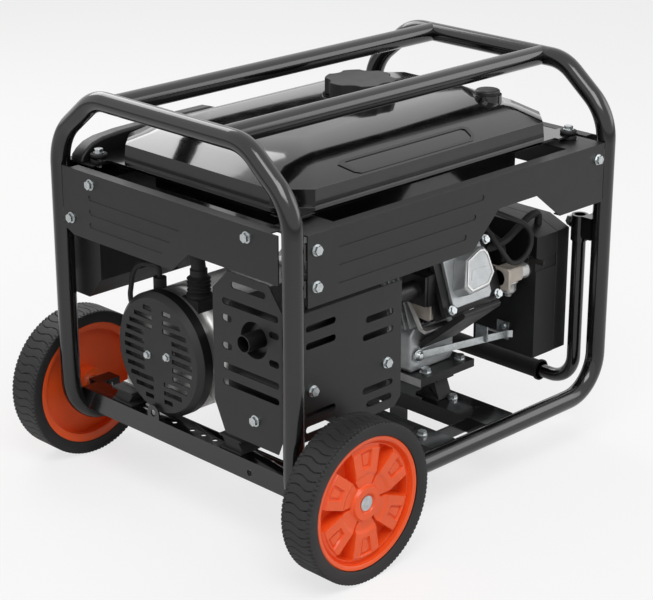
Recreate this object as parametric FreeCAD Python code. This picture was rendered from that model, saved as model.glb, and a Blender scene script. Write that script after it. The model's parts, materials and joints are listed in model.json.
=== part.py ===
"""Portable open-frame generator: tube frame with two wheels, engine, alternator, tank and panels.

Directions: +X from the alternator end (wheels) to the recoil end (handle), -Y is the engine side
with the cylinder head and muffler, +Y is the control side, +Z is up and Z = 0 is the ground.
"""
import FreeCAD
import Part
import os
from math import cos, hypot, pi, radians, sin, tan

V = FreeCAD.Vector

# ------------------------------------------------------------------ driving dimensions (mm)
# frame
frame_length = 670.0          # between post axes, along X
frame_width = 498.0           # between post axes, along Y
rail_height = 86.5            # bottom rail axis above the ground
top_height = 613.7            # top bar axis above the ground
chamfer_height = 541.7        # where the post turns inwards
top_bar_half = 160.4          # half length of the top bar, to its turn
top_rail_half = 115.6         # top rails sit this far from the centre line
tube_r = 15.0
tube_wall = 1.8
bottom_bend_r = 65.0
post_bend_r = 85.0
top_bend_r = 70.0
rail_tail = 20.0              # straight tail of each hoop along the bottom rail

# fits and clearances
running_gap = 0.3             # between bodies that move past each other
shaft_gap = 0.05              # radial, shaft in its bore
bolt_hole_gap = 0.3           # radial, around a bolt's shank

# wheels and axles
tyre_r = 118.0
rim_r = 99.0
wheel_width = 56.0
wheel_mid_y = 304.8           # middle plane of each wheel
axle_x = -270.0
axle_r = 9.0
axle_head_r = 11.0
axle_head = 4.0
axle_inner_y = 226.0          # inner end of the stub axle
hub_r = 24.0
hub_width = 43.0
collar_r = 13.0
axle_block = 40.0             # length of the block that holds the axle
axle_block_top = 18.0         # block above the axle

# carrying handle
handle_tube_r = 11.0
handle_wall = 1.6
handle_arm_y = 206.0
handle_low_z = 86.5
handle_pivot_z = 358.0
handle_sleeve_r = 13.6
handle_sleeve = 42.0
handle_bend_r = 45.0
handle_pin_r = 5.0
grip_r = 15.0
grip_length = 282.0

# sheet metal
sheet = 2.0
panel_y = 260.0               # outer face of the long side panels
panel_x = 346.0               # outer face of the end panels
panel_half_x = 318.0
panel_half_y = 232.0
panel_top = 503.0
panel_low = 400.0
panel_high_low = 409.0        # lower edge beyond the notch
notch_top = 453.0
end_step_z = 432.0            # raised lower edge of the end panels
groove_width = 9.0
groove_depth = 1.0
corner_ledge = 66.0           # width of the folded ledge that carries a tank corner
tab_size = 24.0
tab_thick = 2.5

# base members
beam_x = 318.0                # outer face of the beam under the alternator
beam_low = 104.0
beam_top = 136.0
beam_depth = 36.0
member_sheet = 2.5
member_half = 31.5            # half width of the cross member under the engine
member_x = 108.5
second_member_x = -20.0
second_member_half = 26.0
member_low = 76.0

# support leg
leg_half = 45.0
leg_foot_r = 15.0
leg_foot_h = 12.0
leg_width = 40.0

# engine
crank_y = 65.0
crank_z = 237.3
cylinder_x = 118.0
cylinder_tilt = 19.5          # degrees above the horizontal
crankcase_x0 = 30.0
crankcase_x1 = 195.0
base_z = 137.0
foot_thick = 12.0
case_wall = 9.0
crank_r = 15.0
bore_r = 44.0
barrel_r = 54.0
barrel_end = 170.0            # distance from the crank axis to the head joint
head_end = 235.0
cover_end = 268.0
web_r = 58.0
web_gap = 26.0
web_thick = 16.0
piston_r = 43.6
flywheel_r = 98.0
blower_r = 116.0
blower_x1 = 262.0
recoil_x1 = 298.0

# alternator
alternator_r = 94.5
cover_r = 96.5
alternator_x0 = -312.0
cover_depth = 24.0
stator_x0 = -246.0
stator_x1 = -96.0
stator_bore_r = 68.0
air_gap = 0.8
rotor_shaft_r = 14.0

# mounts of the engine and the alternator
mount_far_y = 182.0
mount_near_y = -108.0
end_mount_far_y = 150.0
end_mount_near_y = -95.0
mount_size = 46.0
end_mount_top = 158.0

# muffler and its guard
guard_x = 322.0
guard_y = 232.0
guard_end = -104.0
guard_inner_y = -72.0
guard_low = 168.0
guard_long_low = 188.0
guard_top = 416.0
guard_long_top = 380.0
guard_sheet = 1.6
guard_corner_r = 24.0
guard_slot = 10.0
outlet_y = -157.0
outlet_z = 327.0
outlet_r = 13.0
outlet_reach = 21.0
outlet_hole_r = 27.0
muffler_x0 = -306.0
muffler_x1 = -118.0
muffler_y0 = -218.0
muffler_y1 = -84.0
muffler_z0 = 196.0
muffler_z1 = 372.0
exhaust_r = 14.0

# fuel tank
tank_flange_z = 508.0
tank_flange = 4.0
tank_half_x = 300.0
tank_half_y = 208.0
tank_wall = 1.5
tank_body_x = 289.0
tank_body_y = 200.0
tank_top = 577.0
belly_half_x = 245.0
belly_half_y = 172.0
belly_low = 452.0
tank_bolt_x = 297.0
tank_bolt_y = 205.0
bushing_r = 13.0
cap_x = 55.0
cap_y = 8.0
cap_r = 54.0
neck_r = 32.0
neck_top = 592.0
cap_top = 604.0
gauge_x = 205.0
gauge_y = -118.0
gauge_r = 19.0

# intake side
carb_x = 214.0
carb_y = -165.0
carb_z = 292.0
air_box_x0 = 250.0
air_box_x1 = 330.0
air_box_y0 = -190.0
air_box_y1 = -64.0
air_box_z0 = 146.0
air_box_z1 = 364.0
air_box_seam = 300.0

# control box
box_x0 = -318.0
box_x1 = -20.0
box_y0 = 190.0
box_z0 = 290.0
box_wall = 2.0

origin_shift = (tyre_r - axle_x - frame_length / 2 - tube_r) / 2
post_x = frame_length / 2
post_y = frame_width / 2
axle_z = tyre_r


# ------------------------------------------------------------------ shape helpers
def box(x0, x1, y0, y1, z0, z1):
    return Part.makeBox(x1 - x0, y1 - y0, z1 - z0, V(x0, y0, z0))


def rod(start, end, radius):
    way = end - start
    return Part.makeCylinder(radius, way.Length, start, way)


def ring(start, end, outer, inner):
    return rod(start, end, outer).cut(rod(start, end, inner))


def prism(points, axis, low, high):
    """Extrude an outline. Its points are (Y, Z), (X, Z) or (X, Y), whichever the axis leaves."""
    places = {
        "x": lambda a, b: V(low, a, b),
        "y": lambda a, b: V(a, low, b),
        "z": lambda a, b: V(a, b, low),
    }[axis]
    way = {"x": V(1, 0, 0), "y": V(0, 1, 0), "z": V(0, 0, 1)}[axis] * (high - low)
    corners = [places(a, b) for a, b in points]
    return Part.Face(Part.makePolygon(corners + corners[:1])).extrude(way)


def fuse(shapes):
    first, *rest = shapes
    return first.multiFuse(rest).removeSplitter() if rest else first


def cut(shape, tools):
    return shape.cut(Part.makeCompound(tools)) if tools else shape


def moved(shape, x=0.0, y=0.0, z=0.0):
    copy = shape.copy()
    copy.translate(V(x, y, z))
    return copy


def mirrored_y(shape):
    return shape.mirror(V(0, 0, 0), V(0, 1, 0))


def mirrored_x(shape):
    return shape.mirror(V(0, 0, 0), V(1, 0, 0))


def path_wire(points, radii):
    """Straight runs joined by tangent arcs; radii belong to the inner points."""
    edges = []
    start = points[0]
    for before, corner, after, radius in zip(points, points[1:], points[2:], radii):
        back = (before - corner).normalize()
        on = (after - corner).normalize()
        turn = pi - back.getAngle(on)
        reach = radius * tan(turn / 2)
        first = corner + back * reach
        last = corner + on * reach
        inward = (back + on).normalize()
        middle = corner + inward * (hypot(radius, reach) - radius)
        if (first - start).Length > 0.01:
            edges.append(Part.LineSegment(start, first).toShape())
        edges.append(Part.Arc(first, middle, last).toShape())
        start = last
    edges.append(Part.LineSegment(start, points[-1]).toShape())
    return Part.Wire(edges)


def pipe(wire, radius):
    first = wire.Edges[0]
    start = first.valueAt(first.FirstParameter)
    way = first.tangentAt(first.FirstParameter)
    profile = Part.Wire([Part.Circle(start, way, radius).toShape()])
    return wire.makePipeShell([profile], True, False)


def tube(points, radii, outer, inner):
    wire = path_wire(points, radii)
    return pipe(wire, outer).cut(pipe(wire, inner))


def open_radii(points, share=0.45):
    """Arc radii as large as the runs beside each inner point allow."""
    radii = []
    for before, corner, after in zip(points, points[1:], points[2:]):
        back = before - corner
        on = after - corner
        turn = pi - back.getAngle(on)
        radii.append(share * min(back.Length, on.Length) / tan(turn / 2))
    return radii


def lead(points, radius):
    return pipe(path_wire(points, open_radii(points)), radius)


def chamfered(half_x, half_y, corner):
    """Rectangle round the origin with its corners cut, as (X, Y) points."""
    a = half_x - corner
    b = half_y - corner
    return [(half_x, -b), (half_x, b), (a, half_y), (-a, half_y),
            (-half_x, b), (-half_x, -b), (-a, -half_y), (a, -half_y)]


def loft(sections):
    """Ruled solid through (half X, half Y, corner, Z) sections."""
    wires = []
    for half_x, half_y, corner, z in sections:
        points = [V(x, y, z) for x, y in chamfered(half_x, half_y, corner)]
        wires.append(Part.makePolygon(points + points[:1]))
    return Part.makeLoft(wires, True, True)


def slot(axis, centre, length, width, depth):
    """Round-ended cutter. The slot lies along X or Y and its depth runs along `axis`."""
    r = width / 2
    along = V(0, 1, 0) if axis == "x" else V(1, 0, 0)
    through = V(1, 0, 0) if axis == "x" else V(0, 1, 0)
    half = max(length / 2 - r, 0.1)
    start = centre - through * (depth / 2)
    ends = [rod(start + along * s, start + along * s + through * depth, r) for s in (-half, half)]
    size = V(abs(along.x), abs(along.y), 0) * (2 * half) + V(abs(through.x), abs(through.y), 0) * depth
    low = centre - along * half - through * (depth / 2) - V(0, 0, r)
    middle = Part.makeBox(size.x, size.y, width, low)
    return fuse([middle] + ends)


# ------------------------------------------------------------------ bolts, kept with their holes
bolts = []
bolt_holes = []


def bolt(place, outward, radius=4.0, length=14.0):
    """Flange bolt: its flange rests on `place` and its head points `outward`."""
    outward = V(outward).normalize()
    flange = rod(place, place + outward * 1.6, radius * 2.1)
    spin = FreeCAD.Rotation(V(0, 0, 1), outward)
    head_r = radius * 1.75
    corners = [V(head_r * cos(radians(60 * i)), head_r * sin(radians(60 * i)), 0) for i in range(6)]
    corners = [place + outward * 1.6 + spin.multVec(c) for c in corners]
    head = Part.Face(Part.makePolygon(corners + corners[:1])).extrude(outward * radius * 1.3)
    shank = rod(place - outward * length, place + outward, radius)
    bolts.append(fuse([flange, head, shank]))
    bolt_holes.append(rod(place - outward * (length + 1), place, radius + bolt_hole_gap))


# ------------------------------------------------------------------ frame
def hoop(side):
    """End hoop: both posts, the chamfers and the top bar, with the bends into the bottom rails."""
    x = side * post_x
    tail = side * (post_x - bottom_bend_r - rail_tail)
    points = [V(tail, -post_y, rail_height), V(x, -post_y, rail_height), V(x, -post_y, chamfer_height),
              V(x, -top_bar_half, top_height), V(x, top_bar_half, top_height),
              V(x, post_y, chamfer_height), V(x, post_y, rail_height), V(tail, post_y, rail_height)]
    radii = [bottom_bend_r, post_bend_r, top_bend_r, top_bend_r, post_bend_r, bottom_bend_r]
    wire = path_wire(points, radii)
    return pipe(wire, tube_r), pipe(wire, tube_r - tube_wall)


def panel_tabs(side, hoop_core):
    """Small plates on the posts that the panels are bolted to."""
    tabs = []
    for y_side in (-1, 1):
        heights = (480.0, 428.0) if side < 0 else (480.0,)
        for z in heights:
            y = y_side * (panel_y - sheet)
            x0, x1 = sorted((side * 291.0, side * 325.0))
            y0, y1 = sorted((y, y - y_side * tab_thick))
            tabs.append(box(x0, x1, y0, y1, z - tab_size / 2, z + tab_size / 2))
    y_side = 1
    x = side * (panel_x - sheet)
    x0, x1 = sorted((x, x - side * tab_thick))
    tabs.append(box(x0, x1, y_side * 201.0, y_side * 241.0, 426 - tab_size / 2, 426 + tab_size / 2))
    return [tab.cut(hoop_core) for tab in tabs]


def handle_lugs():
    """Blocks on the inner faces of the recoil end posts that carry the handle's pivot bolts."""
    lugs = []
    for side in (-1, 1):
        y0, y1 = sorted((side * (post_y - tube_r + 4), side * (handle_arm_y + handle_sleeve_r + running_gap)))
        lug = box(post_x - 13, post_x + 13, y0, y1, handle_pivot_z - 20, handle_pivot_z + 16)
        lugs.append(lug)
    return lugs


solid_alt, core_alt = hoop(-1)
solid_rec, core_rec = hoop(1)
hoop_alternator_end = fuse([solid_alt.cut(core_alt)] + panel_tabs(-1, core_alt))
hoop_recoil_end = fuse([solid_rec.cut(core_rec)] + panel_tabs(1, core_rec)
                       + [lug.cut(solid_rec) for lug in handle_lugs()])

rail_half = post_x - bottom_bend_r - rail_tail
rails = []
for y in (-post_y, post_y):
    rails.append(ring(V(-rail_half, y, rail_height), V(rail_half, y, rail_height), tube_r, tube_r - tube_wall))
for y in (-top_rail_half, top_rail_half):
    rail = ring(V(-post_x, y, top_height), V(post_x, y, top_height), tube_r, tube_r - tube_wall)
    rail = rail.cut(solid_alt).cut(solid_rec)
    rails.append(max(rail.Solids, key=lambda s: s.Volume))
long_rails = Part.makeCompound(rails)
bottom_solids = [rod(V(-rail_half, y, rail_height), V(rail_half, y, rail_height), tube_r)
                 for y in (-post_y, post_y)]
frame_tools = [solid_alt, solid_rec] + bottom_solids


# ------------------------------------------------------------------ base members
def end_beam_shape():
    """Folded channel across the alternator end, with tie-down eye, ledge holes and axle blocks."""
    reach = post_y - 6
    web = box(-beam_x, -beam_x + member_sheet, -reach, reach, beam_low, beam_top)
    ledge = box(-beam_x, -beam_x + beam_depth, -reach, reach, beam_top - member_sheet, beam_top)
    lip = box(-beam_x, -beam_x + beam_depth * 0.6, -reach, reach, beam_low, beam_low + member_sheet)
    eye_y = 73.0
    eye = box(-beam_x, -beam_x + member_sheet, eye_y - 13, eye_y + 13, beam_top - 1, beam_top + 8)
    eye_top = rod(V(-beam_x, eye_y, beam_top + 8), V(-beam_x + member_sheet, eye_y, beam_top + 8), 13)
    beam = fuse([web, ledge, lip, eye, eye_top])
    holes = [rod(V(-beam_x - 1, eye_y, beam_top + 8), V(-beam_x + 9, eye_y, beam_top + 8), 5.5)]
    holes.append(rod(V(-beam_x - 1, -139, 117), V(-beam_x + 9, -139, 117), 5.0))
    for y in (40.0, 0.0, -25.0, -50.0):
        holes.append(rod(V(-beam_x + 14, y, beam_top - 5), V(-beam_x + 14, y, beam_top + 1), 4.5))
    return beam.cut(Part.makeCompound(holes))


def axle_block_shape(side):
    y0, y1 = sorted((side * (post_y + 13), side * (post_y - 13)))
    block = box(axle_x - axle_block / 2, axle_x + axle_block / 2, y0, y1,
                rail_height + 6, axle_z + axle_block_top)
    bore = rod(V(axle_x, -400, axle_z), V(axle_x, 400, axle_z), axle_r + shaft_gap)
    return block.cut(bore)


def cross_member(x, half):
    reach = post_y - 6
    top = rail_height + tube_r
    plate = box(x - half, x + half, -reach, reach, top - member_sheet, top)
    walls = [box(x - half, x - half + member_sheet, -reach, reach, member_low, top),
             box(x + half - member_sheet, x + half, -reach, reach, member_low, top)]
    return fuse([plate] + walls)


beam = end_beam_shape()
axle_blocks = [cut(axle_block_shape(side), frame_tools) for side in (-1, 1)]
beam = cut(cut(beam, frame_tools), axle_blocks)
end_beam = Part.makeCompound([max(beam.Solids, key=lambda s: s.Volume)]
                             + [max(b.Solids, key=lambda s: s.Volume) for b in axle_blocks])

members = []
for x, half in ((member_x, member_half), (second_member_x, second_member_half)):
    member = cut(cross_member(x, half), frame_tools)
    holes = []
    for y in (-190.0, -176.0, 176.0, 190.0):
        holes.append(rod(V(x + 8, y, rail_height), V(x + 8, y, rail_height + tube_r + 1), 3.2))
    members.append(max(member.cut(Part.makeCompound(holes)).Solids, key=lambda s: s.Volume))
for side in (-1, 1):
    y0, y1 = sorted((side * 205.0, side * (205.0 - member_sheet)))
    members.append(box(second_member_x + second_member_half, member_x - member_half, y0, y1,
                       member_low + 2, rail_height + tube_r - 2))
cross_members = Part.makeCompound(members)

# support leg: folded plate bolted under the cross member, on two rubber feet
leg_top = member_low - 0.0
leg_low = leg_foot_h
leg_bar = 3.0
leg_parts = [box(member_x - leg_width / 2, member_x + leg_width / 2, -leg_half - 22, leg_half + 22,
                 leg_top - leg_bar, leg_top)]
for side in (-1, 1):
    y_out = side * (leg_half - 12)
    y0, y1 = sorted((y_out, y_out - side * leg_bar))
    leg_parts.append(box(member_x - leg_width / 2, member_x + leg_width / 2, y0, y1, leg_low, leg_top))
    y0, y1 = sorted((y_out - side * leg_bar, side * (leg_half + 20)))
    leg_parts.append(box(member_x - leg_width / 2, member_x + leg_width / 2, y0, y1,
                         leg_low, leg_low + leg_bar))
# the leg's top plate is wider than the member, so it closes on the member's two walls
leg_parts.append(box(member_x - member_half, member_x + member_half, -leg_half, leg_half,
                     leg_top - leg_bar, leg_top))
support_leg = fuse(leg_parts)
feet = []
for side in (-1, 1):
    centre = V(member_x, side * leg_half, 0)
    foot = Part.makeCone(leg_foot_r - 2, leg_foot_r, leg_foot_h, centre)
    feet.append(foot)
leg_feet = Part.makeCompound(feet)


# ------------------------------------------------------------------ wheels
def revolved(profile, place, axis):
    """Turn a closed outline of (radius, along) points about an axis through `place`."""
    points = [V(r, 0, a) for r, a in profile]
    face = Part.Face(Part.makePolygon(points + points[:1]))
    solid = face.revolve(V(0, 0, 0), V(0, 0, 1), 360)
    solid.Placement = FreeCAD.Placement(place, FreeCAD.Rotation(V(0, 0, 1), axis))
    return solid


def wheel(side):
    place = V(axle_x, side * wheel_mid_y, axle_z)
    out = V(0, side, 0)
    half = wheel_width / 2
    shoulder = 3.0
    tyre = revolved([(rim_r, -half + 3), (tyre_r - shoulder, -half), (tyre_r - 0.8, -half + 0.8), (tyre_r, -half + shoulder),
                     (tyre_r, half - shoulder), (tyre_r - 0.8, half - 0.8),
                     (tyre_r - shoulder, half), (rim_r, half - 3)], place, out)
    hub_out = wheel_width / 2 - 11.0
    hub_in = hub_out - hub_width
    web_out = half - 12
    web = 7.0
    rim = revolved([(axle_r + shaft_gap, hub_in), (hub_r, hub_in), (hub_r, web_out - web),
                    (rim_r - 10, web_out - web), (rim_r - 12, -half + 8), (rim_r - 5, -half + 4),
                    (rim_r, -half + 4), (rim_r, half - 4), (rim_r - 5, half - 4), (rim_r - 7, web_out),
                    (hub_r, web_out), (hub_r, hub_out), (axle_r + shaft_gap, hub_out)], place, out)
    gaps = []
    for i in range(6):
        turn = FreeCAD.Rotation(V(0, 1, 0), 60 * i + 30)
        outline = [V(-6, 0, 46), V(6, 0, 46), V(17, 0, 80), V(-17, 0, 80)]
        corners = [V(axle_x, 0, axle_z) + turn.multVec(p) + V(0, side * wheel_mid_y - 40, 0) for p in outline]
        gaps.append(Part.Face(Part.makePolygon(corners + corners[:1])).extrude(V(0, 80, 0)))
    return tyre, rim.cut(Part.makeCompound(gaps))


tyre_engine_side, rim_engine_side = wheel(-1)
tyre_panel_side, rim_panel_side = wheel(1)

# stub axles, their collars and the spring clips inside the frame
pins = []
clips = []
for side in (-1, 1):
    out = V(0, side, 0)
    middle = V(axle_x, 0, axle_z)
    hub_face = wheel_mid_y + wheel_width / 2 - 11.0
    head_y = hub_face + running_gap
    collar_y0 = post_y + 13
    collar_y1 = hub_face - hub_width - running_gap
    shaft = rod(middle + out * axle_inner_y, middle + out * (head_y + 1), axle_r)
    head = rod(middle + out * head_y, middle + out * (head_y + axle_head), axle_head_r)
    collar = rod(middle + out * collar_y0, middle + out * collar_y1, collar_r)
    clip_y = axle_inner_y + 4.5
    clip_r = 1.4
    hole = rod(middle + out * clip_y + V(0, 0, -20), middle + out * clip_y + V(0, 0, 20), clip_r + 0.2)
    pins.append(fuse([shaft, head, collar]).cut(hole))
    wire_top = middle + out * clip_y + V(0, 0, axle_r + 6)
    stem = rod(middle + out * clip_y + V(0, 0, -axle_r - 8), wire_top, clip_r)
    loop = Part.makeTorus(8.0, clip_r, wire_top + V(0, 0, 7.6), out)
    clips.append(fuse([stem, loop]))
axle_pins = Part.makeCompound(pins)
axle_clips = Part.makeCompound(clips)


# ------------------------------------------------------------------ folding handle
def handle():
    top = handle_pivot_z + 14
    points = [V(post_x, -handle_arm_y, top), V(post_x, -handle_arm_y, handle_low_z),
              V(post_x, handle_arm_y, handle_low_z), V(post_x, handle_arm_y, top)]
    parts = [tube(points, [handle_bend_r, handle_bend_r], handle_tube_r, handle_tube_r - handle_wall)]
    holes = []
    for side in (-1, 1):
        arm = V(post_x, side * handle_arm_y, 0)
        parts.append(ring(arm + V(0, 0, top - handle_sleeve), arm + V(0, 0, top),
                          handle_sleeve_r, handle_tube_r - handle_wall))
        holes.append(rod(arm + V(0, -30, handle_pivot_z), arm + V(0, 30, handle_pivot_z),
                         handle_pin_r + shaft_gap))
    return fuse(parts).cut(Part.makeCompound(holes))


handle_tube = handle()
handle_grip = ring(V(post_x, -grip_length / 2, handle_low_z), V(post_x, grip_length / 2, handle_low_z),
                   grip_r, handle_tube_r + 0.05)
for side in (-1, 1):
    inner = handle_arm_y - handle_sleeve_r - running_gap
    bolt(V(post_x, side * inner, handle_pivot_z), V(0, -side, 0), handle_pin_r, 2 * handle_sleeve_r + 14)


# ------------------------------------------------------------------ panels
def long_panel():
    """Engine side panel, outer face at -panel_y, with the notch above the carburettor."""
    outline = [(-panel_half_x, panel_top), (panel_half_x, panel_top), (panel_half_x, panel_high_low),
               (215, panel_high_low), (159, notch_top), (72, notch_top), (16, panel_low),
               (-panel_half_x, panel_low)]
    face = prism(outline, "y", -panel_y, -panel_y + sheet)
    parts = [face]
    inner = -panel_y + sheet
    parts.append(box(-panel_half_x, panel_half_x, inner - 0.5, inner + 18, panel_top - sheet, panel_top))
    parts.append(box(-panel_half_x, 16, inner - 0.5, inner + 10, panel_low, panel_low + sheet))
    parts.append(box(215, panel_half_x, inner - 0.5, inner + 10, panel_high_low, panel_high_low + sheet))
    for side in (-1, 1):
        x0, x1 = sorted((side * 250, side * panel_half_x))
        parts.append(box(x0, x1, inner - 0.5, -panel_y + corner_ledge, panel_top - sheet, panel_top))
    panel = fuse(parts)
    cutters = []
    for z, end in ((478.0, 38.0), (452.0, 21.0), (426.0, 1.0)):
        start = -262.0
        centre = V((start + end) / 2, -panel_y, z)
        cutters.append(slot("y", centre, end - start, groove_width, 2 * groove_depth))
    return panel.cut(Part.makeCompound(cutters))


def end_panel():
    """Alternator end panel, outer face at -panel_x; the recoil end panel mirrors it."""
    outline = [(-panel_half_y, panel_top), (panel_half_y, panel_top), (panel_half_y, panel_low + 10),
               (panel_half_y - 22, panel_low), (-14, panel_low), (-50, end_step_z),
               (-panel_half_y, end_step_z)]
    parts = [prism(outline, "x", -panel_x, -panel_x + sheet)]
    inner = -panel_x + sheet
    parts.append(box(inner - 0.5, inner + 16, -215, 215, panel_top - sheet, panel_top))
    parts.append(box(inner - 0.5, inner + 10, -14, 200, panel_low, panel_low + sheet))
    panel = fuse(parts)
    cutters = []
    for z, end in ((466.0, -33.0), (444.0, -12.0), (424.0, 5.0)):
        start = 171.0
        centre = V(-panel_x, (start + end) / 2, z)
        cutters.append(slot("x", centre, start - end, groove_width, 2 * groove_depth))
    return panel.cut(Part.makeCompound(cutters))


panel_engine_side = long_panel()
panel_alternator_end = end_panel()
panel_recoil_end = mirrored_x(panel_alternator_end)
for x, z in ((-302, 480), (-302, 428), (302, 480)):
    for side in (-1, 1):
        bolt(V(x, side * panel_y, z), V(0, side, 0), 4.0, sheet + tab_thick + 6)
for side in (-1, 1):
    for y, z in ((165, 487), (213, 426), (-171, 487)):
        bolt(V(side * panel_x, y, z), V(side, 0, 0), 4.0, sheet + tab_thick + 5)


# ------------------------------------------------------------------ control box
def control_panel_shape():
    """Control side panel: deep where the box is, shallow beyond it."""
    outline = [(-panel_half_x, panel_top), (panel_half_x, panel_top), (panel_half_x, panel_high_low),
               (30, panel_high_low), (box_x1, box_z0 + 50), (box_x1 - 22, box_z0 + 14),
               (box_x0 + 22, box_z0 + 14), (box_x0, box_z0 + 36)]
    face = prism(outline, "y", panel_y - sheet, panel_y)
    inner = panel_y - sheet
    parts = [face, box(-panel_half_x, panel_half_x, inner - 18, inner + 0.5, panel_top - sheet, panel_top)]
    for side in (-1, 1):
        x0, x1 = sorted((side * 250, side * panel_half_x))
        parts.append(box(x0, x1, panel_y - corner_ledge, inner + 0.5, panel_top - sheet, panel_top))
    return fuse(parts)


outlet_places = [(-262.0, 372.0), (-196.0, 372.0), (-262.0, 436.0), (-196.0, 436.0)]
outlet_size = 46.0
switch_x = -128.0
switch_z = 440.0
breaker_x = -128.0
breaker_z = 384.0

control_cuts = []
outlet_parts = []
for x, z in outlet_places:
    half = outlet_size / 2
    control_cuts.append(box(x - half, x + half, panel_y - 30, panel_y + 5, z - half, z + half))
    body = box(x - half + 0.3, x + half - 0.3, panel_y - 24, panel_y + 2, z - half + 0.3, z + half - 0.3)
    lip = box(x - half - 3, x + half + 3, panel_y, panel_y + 2, z - half - 3, z + half + 3)
    blades = [box(x - 9.1, x - 6.9, panel_y - 12, panel_y + 3, z - 2, z + 9),
              box(x + 6.9, x + 9.1, panel_y - 12, panel_y + 3, z - 2, z + 9),
              rod(V(x, panel_y - 12, z - 11), V(x, panel_y + 3, z - 11), 3.0)]
    outlet_parts.append(fuse([body, lip]).cut(Part.makeCompound(blades)))
outlets = Part.makeCompound(outlet_parts)

bezel_wall = 3.0
rocker_r = 2.0
rocker_pivot_y = panel_y - 5.0
switches = [(switch_x, switch_z, 11.0, 12.0), (breaker_x, breaker_z, 8.0, 10.0)]
bezel_parts = []
rocker_parts = []
for x, z, half, reach in switches:
    wide = half + running_gap + bezel_wall
    control_cuts.append(box(x - wide - 0.3, x + wide + 0.3, panel_y - 30, panel_y + 5, z - 20.3, z + 20.3))
    bezel = fuse([box(x - wide, x + wide, panel_y - 22, panel_y + 2, z - 20, z + 20),
                  box(x - wide - 3, x + wide + 3, panel_y, panel_y + 2, z - 23, z + 23)])
    well = box(x - half - running_gap, x + half + running_gap, panel_y - 19, panel_y + 3, z - 17, z + 17)
    pivot = rod(V(x - half - 2, rocker_pivot_y, z), V(x + half + 2, rocker_pivot_y, z), rocker_r)
    socket = rod(V(x - half - 2.3, rocker_pivot_y, z), V(x + half + 2.3, rocker_pivot_y, z), rocker_r + shaft_gap)
    bezel_parts.append(bezel.cut(Part.makeCompound([well, socket])))
    face = [(panel_y - 13, z - 7), (panel_y + 1, z - reach), (panel_y + 3, z), (panel_y + 7, z + reach),
            (panel_y - 13, z + 7)]
    rocker_parts.append(fuse([prism(face, "x", x - half, x + half), pivot]))
switch_bezels = Part.makeCompound(bezel_parts)
engine_switch, breaker_switch = rocker_parts
control_panel = control_panel_shape().cut(Part.makeCompound(control_cuts))


box_y1 = panel_y - sheet
box_outline = [(box_y0, box_z0 + 34), (box_y0 + 30, box_z0), (box_y1, box_z0), (box_y1, panel_top - 22),
               (box_y0, panel_top - 22)]
shell_outline = [(box_y0 + box_wall, box_z0 + 35), (box_y0 + 31, box_z0 + box_wall),
                 (box_y1 + 5, box_z0 + box_wall), (box_y1 + 5, panel_top - 22 - box_wall),
                 (box_y0 + box_wall, panel_top - 22 - box_wall)]
control_box = prism(box_outline, "x", box_x0 + 4, box_x1 - 2)
control_box = control_box.cut(prism(shell_outline, "x", box_x0 + 4 + box_wall, box_x1 - 2 - box_wall))
tab_room = tab_size / 2 + 2
control_box = control_box.cut(Part.makeCompound(
    [box(box_x0 - 2, -288.0, panel_y - sheet - tab_thick - 1, panel_y, z - tab_room, z + tab_room)
     for z in (480.0, 428.0)]))


# ------------------------------------------------------------------ rubber mounts
def sandwich_mount(x, y, low, high, lean):
    """Bonded mount: foot wedge, slanted rubber block and head wedge, in one piece."""
    half = mount_size / 2
    plate = 3.0
    lower = box(x - half + 4, x + half - 4, y - half, y + half, low, low + plate)
    upper = box(x - half + 4, x + half - 4, y - half, y + half, high - plate, high)
    shift = lean * 7.0
    block = prism([(y - 17 - shift, low + 1), (y + 17 - shift, low + 1), (y + 17 + shift, high - 1),
                   (y - 17 + shift, high - 1)], "x", x - half + 8, x + half - 8)
    return fuse([lower, upper, block])


member_top = rail_height + tube_r
end_mount_x = -beam_x + 22.0
engine_mounts = Part.makeCompound([
    sandwich_mount(member_x, mount_near_y, member_top, base_z, 1),
    sandwich_mount(member_x, mount_far_y, member_top, base_z, -1),
    sandwich_mount(end_mount_x, end_mount_near_y, beam_top, end_mount_top, 1),
    sandwich_mount(end_mount_x, end_mount_far_y, beam_top, end_mount_top, -1)])


# ------------------------------------------------------------------ engine
tilt = radians(cylinder_tilt)
out_dir = V(0, -cos(tilt), sin(tilt))
up_dir = V(0, sin(tilt), cos(tilt))
crank_centre = V(cylinder_x, crank_y, crank_z)


def along(distance, across=0.0, x=0.0):
    """Point at a distance from the crank axis along the cylinder axis."""
    return crank_centre + out_dir * distance + up_dir * across + V(x, 0, 0)


def tilted_block(s0, s1, half_x, low, high):
    """Block in the cylinder's own directions, `low` to `high` across the cylinder axis."""
    corners = [along(s0, low, -half_x), along(s1, low, -half_x), along(s1, high, -half_x), along(s0, high, -half_x)]
    return Part.Face(Part.makePolygon(corners + corners[:1])).extrude(V(2 * half_x, 0, 0))


# oil filler neck on the control side
fill_low = V(crankcase_x0 + 28, crank_y + 51, 186)
fill_dir = V(0, 68, 76).normalize()
fill_mouth = fill_low + fill_dir * 100.0


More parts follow.
